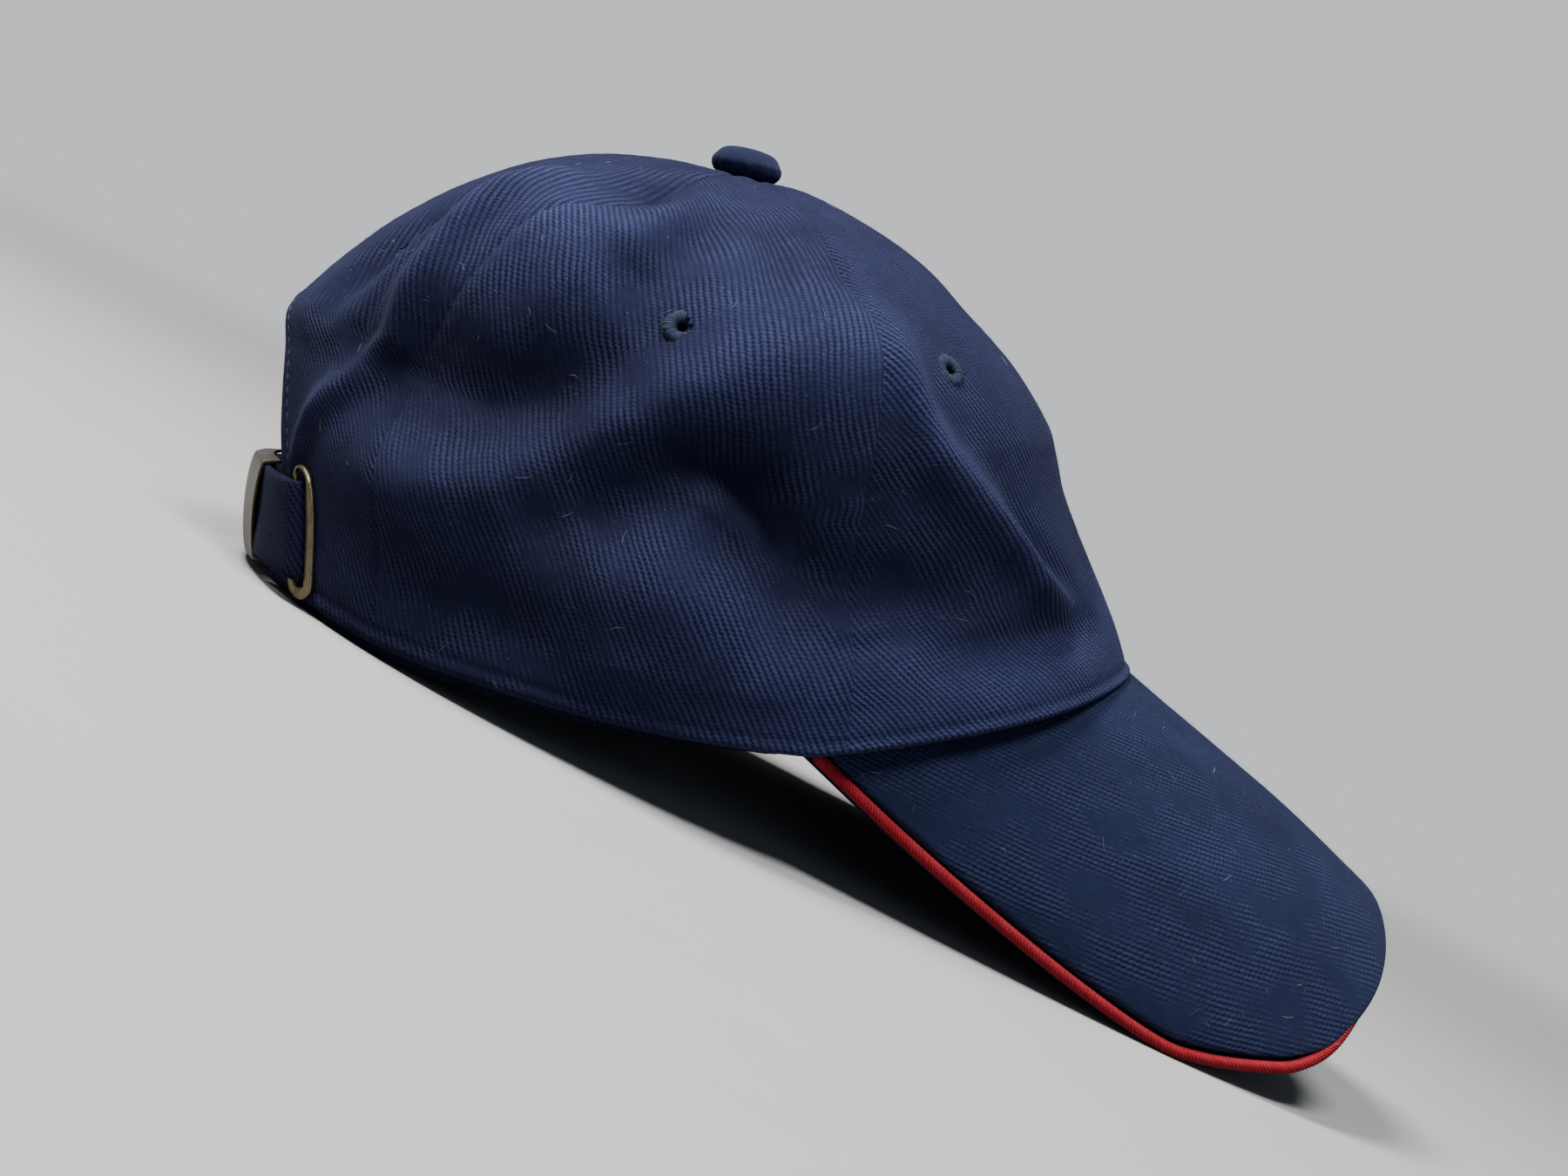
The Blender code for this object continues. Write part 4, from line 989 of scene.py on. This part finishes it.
def makeButton():
    piece = addPrimitive("top_button", bpy.ops.mesh.primitive_uv_sphere_add, segments=72,
                         ring_count=40, radius=1)
    x, y, z = readMesh(piece.data.vertices, "co").T
    angle, place = np.arctan2(y, x), np.arccos(np.clip(z, -1, 1)) / math.pi * 8
    radius = button["radius"] * readColumn(buttonTable, "radius", place)
    height = button["height"] * readColumn(buttonTable, "height", place)
    gathers = 1 + np.cos(button["gathers"] * angle + np.sin(3 * angle))
    radius -= button["gatherDepth"] * np.clip((place - 3.0) / 2.5, 0, 1) * gathers
    height -= button["waist"] * bell(place, 3.2, 0.5) * (1 + 0.4 * np.sin(2 * angle))
    points = joined(radius * np.cos(angle), radius * np.sin(angle), height)
    away = place / 8 * (button["radius"] + button["height"]) * 1.3
    tilt = np.array(Matrix.Rotation(-button["tilt"], 3, "X"))
    base = (0, crown["buttonSetback"], crown["height"] + button["seat"])
    setPoints(piece, points @ tilt.T + base, joined(away * np.cos(angle), away * np.sin(angle)))
    piece.data.materials.append(cloths["button cloth"])
    finished(piece, 80, "crown_cloth", "top_button")


makeButton()
print("stage: button")

# the sweatband inside the rim
band = {"cloth": 0.0010, "gap": 0.0007, "height": 0.030, "drop": 0.0016, "rise": 0.0018,
        "roll": 0.0005, "stepTurn": math.radians(2.5), "bump": 0.0003, "bumpLength": 0.004,
        "columns": 420, "rows": 22}


def makeBand():
    endTurn = abs(float(backPlace(arch["halfWidth"] + 2 * strap["tuck"], 0.0)[0]))

    def place(u, w):
        turn = endTurn * (1 - 2 * u)
        behind = np.clip((np.abs(turn) - peak["cornerTurn"]) / band["stepTurn"], 0, 1)
        foot = shareAt(turn, rimHeight(turn) + band["rise"] * (1 - behind))
        head = shareAt(turn, rimHeight(turn) + band["height"])
        roll = bell(w, 0, 0.05) * band["roll"] * behind
        point = crownPoint(turn, foot + (head - foot) * w, roll - crown["cloth"] - band["gap"])
        bumps = ripple(point, band["bumpLength"], 1.0) * band["bump"]
        point[..., 2] -= (band["drop"] - bumps) * behind * (1 - w) ** 8
        return point

    piece = addGrid("sweatband", band["columns"], band["rows"], place, cloths["band cloth"])
    thicken(piece, band["cloth"])
    finished(piece, 60, "band_cloth", "sweatband")


makeBand()
print("stage: sweatband")


# the peak
def peakEdge(inset, tipReach=0.0):
    # the peak's edge on one side, inset all along and then reaching out again round the tip
    places = np.linspace(0, 11, 400)
    side = bendRadius * peak["cornerBend"] * readColumn(peakTable, "side", places)
    forward = cornerAlong + peak["length"] * readColumn(peakTable, "forward", places)
    edge = joined(side, forward)
    steps = np.gradient(edge, axis=0)
    heading, along = unit(steps), np.cumsum(np.linalg.norm(steps, axis=1))
    reach = np.clip((along / along[-1] - peak["reachStart"]) / peak["reachRun"], 0, 1)
    inset = inset - tipReach * reach * reach * (3 - 2 * reach)
    edge += inset[:, None] * joined(-heading[:, 1], heading[:, 0])
    return edge[edge[:, 1] > rootAlong(edge[:, 0]) + peak["rootGap"]]


underDepth = peak["cloth"] + peak["gap"]
peakSheets = {
    "peak_top": {
        "inset": 2 * peak["pipingRadius"] + peak["gap"], "tipReach": peak["tipReach"],
        "depth": 0.0, "wall": peak["cloth"], "relief": 0.00025, "columns": 132, "rows": 84,
        "cloth": "peak cloth", "slot": "peak_cloth"},
    "peak_under": {
        "inset": 0.0, "tipReach": 0.0, "depth": underDepth, "wall": peak["underCloth"],
        "relief": 0.0002, "columns": 96, "rows": 60, "cloth": "under cloth", "slot": "under_cloth"},
}
mirror = np.array((-1, 1))


def makePeakSheet(name, sheet):
    columns, rows = sheet["columns"], sheet["rows"]
    edge = evenPoints(peakEdge(sheet["inset"], sheet["tipReach"]), 601)
    split = round(600 * peak["tipStart"])
    side = evenPoints(edge[: split + 1], rows + 1)
    halfTip = evenPoints(edge[split:], columns // 2 + 1)
    tip = np.concatenate([halfTip, halfTip[-2::-1] * mirror])

    def place(u, w):
        # a sheet stretched between the peak's root, its sides and its tip
        column, row = np.round(u * columns).astype(int), np.round(w * rows).astype(int)
        across = side[0, 0] * (1 - 2 * u)
        root = joined(across, rootAlong(across) - peak["rootTuck"])
        edgeShare = np.minimum(np.minimum(u, 1 - u), 1 - w)
        u, w = u[:, None], w[:, None]
        corners = (1 - w) * ((1 - u) * side[0] + u * side[0] * mirror)
        corners = corners + w * ((1 - u) * tip[0] + u * tip[-1])
        spot = (1 - w) * root + w * tip[column] - corners
        x, y = (spot + (1 - u) * side[row] + u * side[row] * mirror).T
        relief = sheet["relief"] * ripple(peakPoint(x, y), 0.02, 4.0)
        thin = peak["edgeSink"] * bell(edgeShare, 0, 0.02)
        return peakPoint(x, y, sheet["depth"] - relief + thin)

    piece = addGrid(name, columns, rows, place, cloths[sheet["cloth"]])
    thicken(piece, sheet["wall"])
    soften(piece)
    finished(piece, 80, sheet["slot"], name)
    return piece


peakPieces = {name: makePeakSheet(name, sheet) for name, sheet in peakSheets.items()}


def addTube(name, path, normals, shape, around, material, closed=False):
    # a tube along a path. shape takes the angle round it and the length along it
    count = len(path) - (0 if closed else 1)
    if closed:
        path, normals = np.concatenate([path, path[:1]]), np.concatenate([normals, normals[:1]])
    ahead = np.gradient(path, axis=0)
    if closed:
        ahead[0] = ahead[-1] = path[1] - path[-2]
    ahead = unit(ahead)
    side = unit(np.cross(ahead, normals))
    over, lengths = np.cross(side, ahead), lengthsAlong(path)

    def place(u, w):
        row = np.round(w * count).astype(int)
        wide, high = shape(2 * math.pi * u, lengths[row])
        return path[row] + side[row] * wide[:, None] + over[row] * high[:, None]

    piece = addGrid(name, around, count, place, material)
    closeTube(piece)
    return piece


piping = {"ribPitch": 0.00105, "ribDepth": 0.00007, "slant": 1.3, "sections": 1500, "sides": 12,
          "inset": 0.0003, "taper": 0.0012, "tipInset": 0.0011}


def makePiping():
    edge = peakEdge(peak["pipingRadius"], -piping["tipInset"])
    whole = np.concatenate([edge, edge[-2::-1] * mirror])
    depth = underDepth - piping["inset"] - peak["pipingRadius"]
    x, y = evenPoints(whole, piping["sections"] + 1).T
    path = peakPoint(x, y, depth)
    above = peakPoint(x, y, depth - 0.001) - path

    def shape(angle, length):
        twist = 2 * math.pi * length / piping["ribPitch"] + piping["slant"] * np.sin(angle)
        radius = peak["pipingRadius"] + piping["ribDepth"] * (np.cos(twist) - 0.4)
        taper = np.minimum(length, length.max() - length) / piping["taper"]
        radius = radius * np.sqrt(np.clip(taper, 0.0, 1))
        return radius * np.cos(angle), radius * np.sin(angle)

    piece = addTube("peak_piping", path, above, shape, piping["sides"], threads["piping cloth"])
    finished(piece, 80, "piping_cloth", "peak_piping")


makePiping()
print("stage: peak")

# straps at the back
buckle = {"across": -0.006, "width": 0.030, "height": 0.0230, "stand": 0.0050, "depth": 0.0068,
          "tip": 0.0010, "sheet": 0.0008, "pinInset": 0.003, "pinRadius": 0.0007,
          "lip": 0.00018, "lipPlace": 0.0007, "bevel": 0.00012, "columns": 60, "rows": 44}


def makeStrap(name, path, count):
    # path gives places across the back, lifts off the crown and leans
    points = evenPoints(rounded(path), count + 1)

    def place(u, w):
        x, lift, lean = points[np.round(u * count).astype(int)].T
        level = strap["level"] + strap["width"] * (w - 0.5)
        edge = bell(np.minimum(w, 1 - w), 0, 0.09) * strap["edge"]
        return backPoint(x + lean * (2 * w - 1), level, lift - edge)

    piece = addGrid(name, count, strap["rows"], place, cloths["strap cloth"])
    thicken(piece, strap["cloth"])
    soften(piece)
    finished(piece, 80, "strap_cloth", name)


def makeStraps():
    behind, over = -crown["cloth"] - strap["gap"], strap["cloth"] + strap["gap"]
    crest = over + 2 * ring["wire"] + 2 * strap["gap"]
    tuck, lean = strap["tuck"], strap["width"] / 2 * math.tan(ring["lean"])
    tuckEnd, archSide = arch["halfWidth"] + tuck, arch["halfWidth"] - tuck
    left = buckle["across"] + buckle["width"] / 2
    right = buckle["across"] - buckle["width"] / 2
    nearWire = ring["across"] + ring["width"] / 2 - ring["wire"]
    dive = ring["across"] - strap["cloth"] / 2
    makeStrap("back_strap", [
        (tuckEnd, behind, 0), (archSide, behind, 0), (archSide - tuck, behind, 0),
        (left + tuck / 2, over, 0), (left, over, 0), (right, over + strap["bulge"], 0),
        (right - tuck / 2, over + strap["bulge"] + strap["edge"], 0),
        (nearWire + 2 * strap["cloth"], crest, lean),
        (dive, crest + strap["gap"], lean), (dive, -strap["endDepth"], lean),
    ], 120)
    pinSide = left - buckle["pinInset"] - buckle["pinRadius"] - strap["gap"]
    makeStrap("buckle_tab", [
        (pinSide, 0, 0), (strap["rise"] + tuck - archSide, 0, 0), (tuck - archSide, behind, 0),
        (-archSide, behind, 0), (-tuckEnd, behind, 0),
    ], 60)


makeStraps()
print("stage: straps")

# the buckle's bent sheet: height and depth of its section, as shares
buckleSection = [(-1, 1), (-1, .30), (-.95, .20), (-.55, .06), (0, 0), (.55, .10), (.95, .31),
                 (1, .41), (1, 1)]


def makeBuckle():
    rows, half = buckle["rows"], buckle["height"] / 2
    section = evenPoints(rounded(buckleSection, 3) * (half, buckle["depth"]), rows + 1)

    def place(u, w):
        above, depth = section[np.round(w * rows).astype(int)].T
        x = buckle["across"] + buckle["width"] * (0.5 - u)
        ends = np.minimum(u, 1 - u) * buckle["width"]
        lip = buckle["lip"] * bell(ends, buckle["lipPlace"], 0.0006)
        lift = buckle["stand"] + buckle["tip"] * above / half - depth
        return backPoint(x, strap["level"] + above, lift + lip)

    piece = addGrid("buckle", buckle["columns"], rows, place, metals["buckle steel"])
    piece.data.materials.append(metals["buckle brass edge"])
    thicken(piece, buckle["sheet"], material_offset_rim=1)
    applied(piece, "BEVEL", width=buckle["bevel"], segments=2, limit_method="ANGLE",
            angle_limit=math.radians(55), material=-1)
    finished(piece, 35, "buckle_metal", "buckle")


makeBuckle()
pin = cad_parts["buckle_pin"]
pin.data.materials.clear()
pin.data.materials.append(metals["pin steel"])


def makeRing():
    halfWidth, halfHeight = ring["width"] / 2 - ring["wire"], ring["height"] / 2 - ring["wire"]
    straight = halfHeight - halfWidth
    angle = np.linspace(0, math.pi, 13)
    end = joined(halfWidth * np.cos(angle), straight + halfWidth * np.sin(angle))
    aside, above = evenPoints(np.concatenate([end, -end, end[:1]]), 181)[:-1].T
    x, level = ring["across"] + aside + above * math.tan(ring["lean"]), strap["level"] + above
    lift = np.full(len(x), ring["wire"] + strap["gap"])
    path = backPoint(x, level, lift)
    outward = backPoint(x, level, lift + 0.001) - path
    # the wire is broad on its side toward the peak and at its foot, and pinched at its head
    broad = below(aside, -0.2 * halfWidth, 0.3 * halfWidth)
    broad = np.maximum(broad, below(above, -straight, 0.001))
    broad = ring["narrow"] + ring["broad"] * broad * below(above, 0.85 * straight, 0.0012)
    broad = broad - ring["pinch"] * below(-above, -straight, 0.0008)
    steps = lengthsAlong(path)

    def shape(angle, length):
        flat = 1 / (np.abs(np.cos(angle)) ** 4 + np.abs(np.sin(angle)) ** 4) ** 0.25
        dent = 1 + ring["dent"] * np.sin(length * 900) * np.sin(length * 2300)
        wide = ring["wire"] * flat * dent * np.interp(length, steps, broad)
        return wide * np.cos(angle), ring["wire"] * ring["flat"] * flat * np.sin(angle)

    piece = addTube("slot_ring", path, outward, shape, 16, metals["ring brass"], closed=True)
    finished(piece, 50, "ring_metal", "slot_ring")


makeRing()
print("stage: metal")

# stitches: one bead of thread, repeated along a line in one mesh
stitch = {"length": 0.0022, "gap": 0.0009, "radius": 0.00017, "start": 0.03}


def addStitches(name, points, outward, material, slot):
    bead = addPrimitive("bead", bpy.ops.mesh.primitive_uv_sphere_add, segments=6, ring_count=5,
                        radius=1)
    x, y, z = readMesh(bead.data.vertices, "co").T
    faces = [tuple(face.vertices) for face in bead.data.polygons]
    bpy.data.objects.remove(bead)
    lengths, radius = lengthsAlong(points), stitch["radius"]
    bodies, flat = [], []
    for start in np.arange(0, lengths[-1] - stitch["length"], stitch["length"] + stitch["gap"]):
        along = start + stitch["length"] * rng.uniform(0.85, 1.1) * (z + 1) / 2
        spot, out = atLengths(along, lengths, points), atLengths(along, lengths, outward)
        ahead = atLengths(along + 1e-4, lengths, points) - spot
        side = np.cross(unit(ahead), out)
        sink = radius * (0.9 * z**2 - 0.35)
        body = spot + side * (x * radius)[:, None] + out * (y * radius * 0.8 - sink)[:, None]
        bodies.append(toWorld(body))
        flat.append(joined(x * radius, along))
    addBodies(name, bodies, faces, material, slot, flat)


def makeArchStitch():
    # just on the finished cloth of the two back panels
    turn, share = archEdge(panel["edgeStitch"]).T
    turn, share = turn[share > stitch["start"]], share[share > stitch["start"]]
    start, end = (seamTurn(seam, share) for seam in panelSeams["back"])
    across = (end - turn) / (end - start)
    for word, side in sides.items():
        lift = panelLift(turn, share, across, "back", side)
        addStitches(f"opening_stitch_{word}", crownPoint(side * turn, share, lift),
                    formNormal(side * turn, share), threads["pale stitch thread"], "crown_cloth")


makeArchStitch()
print("stage: stitches")

# loose fibres: fuzz stands off the cloth, pale lint lies on it
fibreLooks = {
    "fuzz": {"material": "cloth fuzz", "dark": (0.020, 0.024, 0.065), "light": (0.10, 0.11, 0.20),
             "crown": 6300, "peak": 3100, "length": (0.0008, 0.0022), "rise": (0.15, 1.0),
             "thick": (0.000012, 0.000022), "bend": 1.6, "clear": 0.00008, "rings": 2},
    "lint": {"material": "pale lint", "dark": (0.28, 0.29, 0.36), "light": (0.75, 0.76, 0.80),
             "crown": 130, "peak": 90, "length": (0.0012, 0.0042), "rise": (0.02, 0.16),
             "thick": (0.000020, 0.000034), "bend": 1.6, "clear": 0.00008, "rings": 6},
}


def makeFibre(name, dark, light):
    made, shader = newMaterial(name, Roughness=0.85, Specular_IOR_Level=0.1)
    lot = cloud(wire("TexCoord")["Object"], 260.0, 1.0)
    feed(shader, Base_Color=blendColour(ranged(lot, 0.35, 0.65), dark, light))
    return made


def addFibres(name, count, pieces, look, material, slot):
    # closed slivers of a few faces, on faces picked by their area
    middle, starts = np.array((0, 0.03, 0.05)), []
    for piece in pieces:
        centres, normals, areas = (readMesh(piece.data.polygons, *what) for what in
                                   (("center",), ("normal",), ("area", 1)))
        shown = ((centres - middle) * normals).sum(axis=1, keepdims=True) > 0
        starts.append(np.concatenate([centres, normals, areas * shown], axis=1))
    pool = np.concatenate(starts)
    picks = rng.choice(len(pool), count, p=pool[:, 6] / pool[:, 6].sum())
    spots, outs = pool[picks, :3], pool[picks, 3:6]
    heading = rng.normal(size=(count, 3))
    heading = unit(heading - (heading * outs).sum(axis=1)[:, None] * outs)
    sideways = np.cross(outs, heading)
    length = rng.uniform(*look["length"], count)[:, None]
    lean = rng.uniform(*look["rise"], count)[:, None]
    bend = rng.uniform(-look["bend"], look["bend"], count)[:, None] / length
    radius = rng.uniform(*look["thick"], count)[:, None]
    rings, steps = look["rings"], np.linspace(0, 1, look["rings"] + 2)
    arc = bend * steps * length
    ahead, aside = np.sin(arc) / bend * np.cos(lean), (1 - np.cos(arc)) / bend
    high = look["clear"] + length * np.sin(lean) * (steps - 0.35 * steps**2)
    line = spots[:, None]
    for way, run in ((heading, ahead), (sideways, aside), (outs, high)):
        line = line + way[:, None] * run[..., None]
    slim = radius * np.sin(math.pi * steps[1:-1]) ** 0.4
    angle = np.array((0, 2, 4))[:, None] * math.pi / 3
    rim = sideways[:, None] * np.cos(angle) + outs[:, None] * np.sin(angle)
    body = line[:, 1:-1, None] + slim[..., None, None] * rim[:, None]
    points = np.concatenate([line[:, :1], body.reshape(count, -1, 3), line[:, -1:]], axis=1)
    sliver, last = [], 3 * rings + 1
    for j, after in ((0, 1), (1, 2), (2, 0)):
        sliver.append((0, 1 + after, 1 + j))
        sliver += [(low + j, low + after, low + 3 + after, low + 3 + j)
                   for low in range(1, last - 3, 3)]
        sliver.append((last, last - 3 + j, last - 3 + after))
    addBodies(name, points, sliver, material, slot)


for kind, look in fibreLooks.items():
    fibre = makeFibre(look["material"], look["dark"], look["light"])
    for part, pieces in (("crown", panels), ("peak", [peakPieces["peak_top"]])):
        addFibres(f"{part}_{kind}", look[part], pieces, look, fibre, f"{part}_cloth")
print("stage: fibres")

# floor, light and camera
stage = {"floorRadius": 6.0, "floor": (0.90, 0.89, 0.86), "fade": (0.30, 1.25),
         "sky": (0.73, 0.745, 0.775), "skyLight": 0.035, "bounce": 0.20}
camera = {"azimuth": 262.0, "elevation": 4.5, "roll": 16.64, "distance": 0.5633,
          "target": (0.0018, -0.0192, 0.0298), "lens": 54}
# each light's place is aside, above and toward the camera, as the picture shows it
lights = {
    "key": {"place": (-0.12, 1.15, 0.18), "size": 0.45, "power": 12.8,
            "colour": (1.0, 0.985, 0.97)},
    "front": {"place": (0.50, 0.95, 0.55), "size": 0.45, "power": 8.5,
              "colour": (0.94, 0.97, 1.0)},
    "low": {"place": (0.25, 0.0, 1.0), "size": 0.8, "power": 0.8, "colour": (0.58, 0.74, 1.0)},
}


def makeStage():
    floor = addPrimitive("floor", bpy.ops.mesh.primitive_circle_add, vertices=96,
                         radius=stage["floorRadius"], fill_type="NGON")
    made, shader = newMaterial("pale floor", Roughness=0.7, Specular_IOR_Level=0.2)
    spots = wire("TexCoord")["Object"]
    away = wire("VectorMath", {"operation": "LENGTH"}, at0=spots)["Value"]
    fade = ranged(away, *stage["fade"], interpolation_type="SMOOTHSTEP")
    tone = ranged(cloud(spots, 30.0, 3.0), 0.0, 1.0, 0.97, 1.02)
    colour = blendColour(fade, scaled(stage["floor"], tone), (0, 0, 0))
    seen = wire("LightPath")["Is Camera Ray"]
    lit = plus(stage["bounce"], times(seen, 1 - stage["bounce"]))
    feed(shader, Base_Color=scaled(colour, lit), Emission_Strength=seen,
         Emission_Color=blendColour(fade, (0, 0, 0), stage["sky"]))
    floor.data.materials.append(made)
    floor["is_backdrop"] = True
    world = bpy.data.worlds.new("soft studio")
    world.use_nodes = True
    bpy.context.scene.world = world
    current["tree"] = world.node_tree
    seen = wire("LightPath")["Is Camera Ray"]
    strength = plus(stage["skyLight"], times(seen, 1 - stage["skyLight"]))
    feed(world.node_tree.nodes["Background"].inputs, Color=(*stage["sky"], 1), Strength=strength)


def cameraMatrix():
    azimuth, elevation = math.radians(camera["azimuth"]), math.radians(camera["elevation"])
    roll, flat = math.radians(camera["roll"]), math.cos(elevation)
    back = Vector((math.sin(azimuth) * flat, -math.cos(azimuth) * flat, math.sin(elevation)))
    level = Vector((math.cos(azimuth), math.sin(azimuth), 0))
    upright = back.cross(level)
    right = math.cos(roll) * level + math.sin(roll) * upright
    above = -math.sin(roll) * level + math.cos(roll) * upright
    place = Matrix((right, above, back)).transposed().to_4x4()
    place.translation = Vector(camera["target"]) + back * camera["distance"]
    return restMatrix @ place


def makeLights():
    axes, middle = cameraMatrix().to_3x3(), Vector((0, 0, 0.06))
    for name, look in lights.items():
        data = bpy.data.lights.new(name, "AREA")
        data.shape, data.size = "DISK", look["size"]
        data.energy, data.color = look["power"], look["colour"]
        lamp = addObject(name, data)
        lamp.location = middle + axes @ Vector(look["place"])
        lamp.rotation_euler = (middle - lamp.location).to_track_quat("-Z", "Y").to_euler()


def makeCamera():
    data = bpy.data.cameras.new("camera")
    data.lens, data.sensor_width, data.clip_start = camera["lens"], 36, 0.01
    bpy.context.scene.camera = addObject("camera", data)
    bpy.context.scene.camera.matrix_world = cameraMatrix()


makeStage()
makeLights()
makeCamera()
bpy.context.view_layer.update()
triangles = sum(len(face.vertices) - 2 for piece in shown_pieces() if piece.type == "MESH"
                for face in piece.data.polygons)
print("stage: done,", triangles, "triangles")
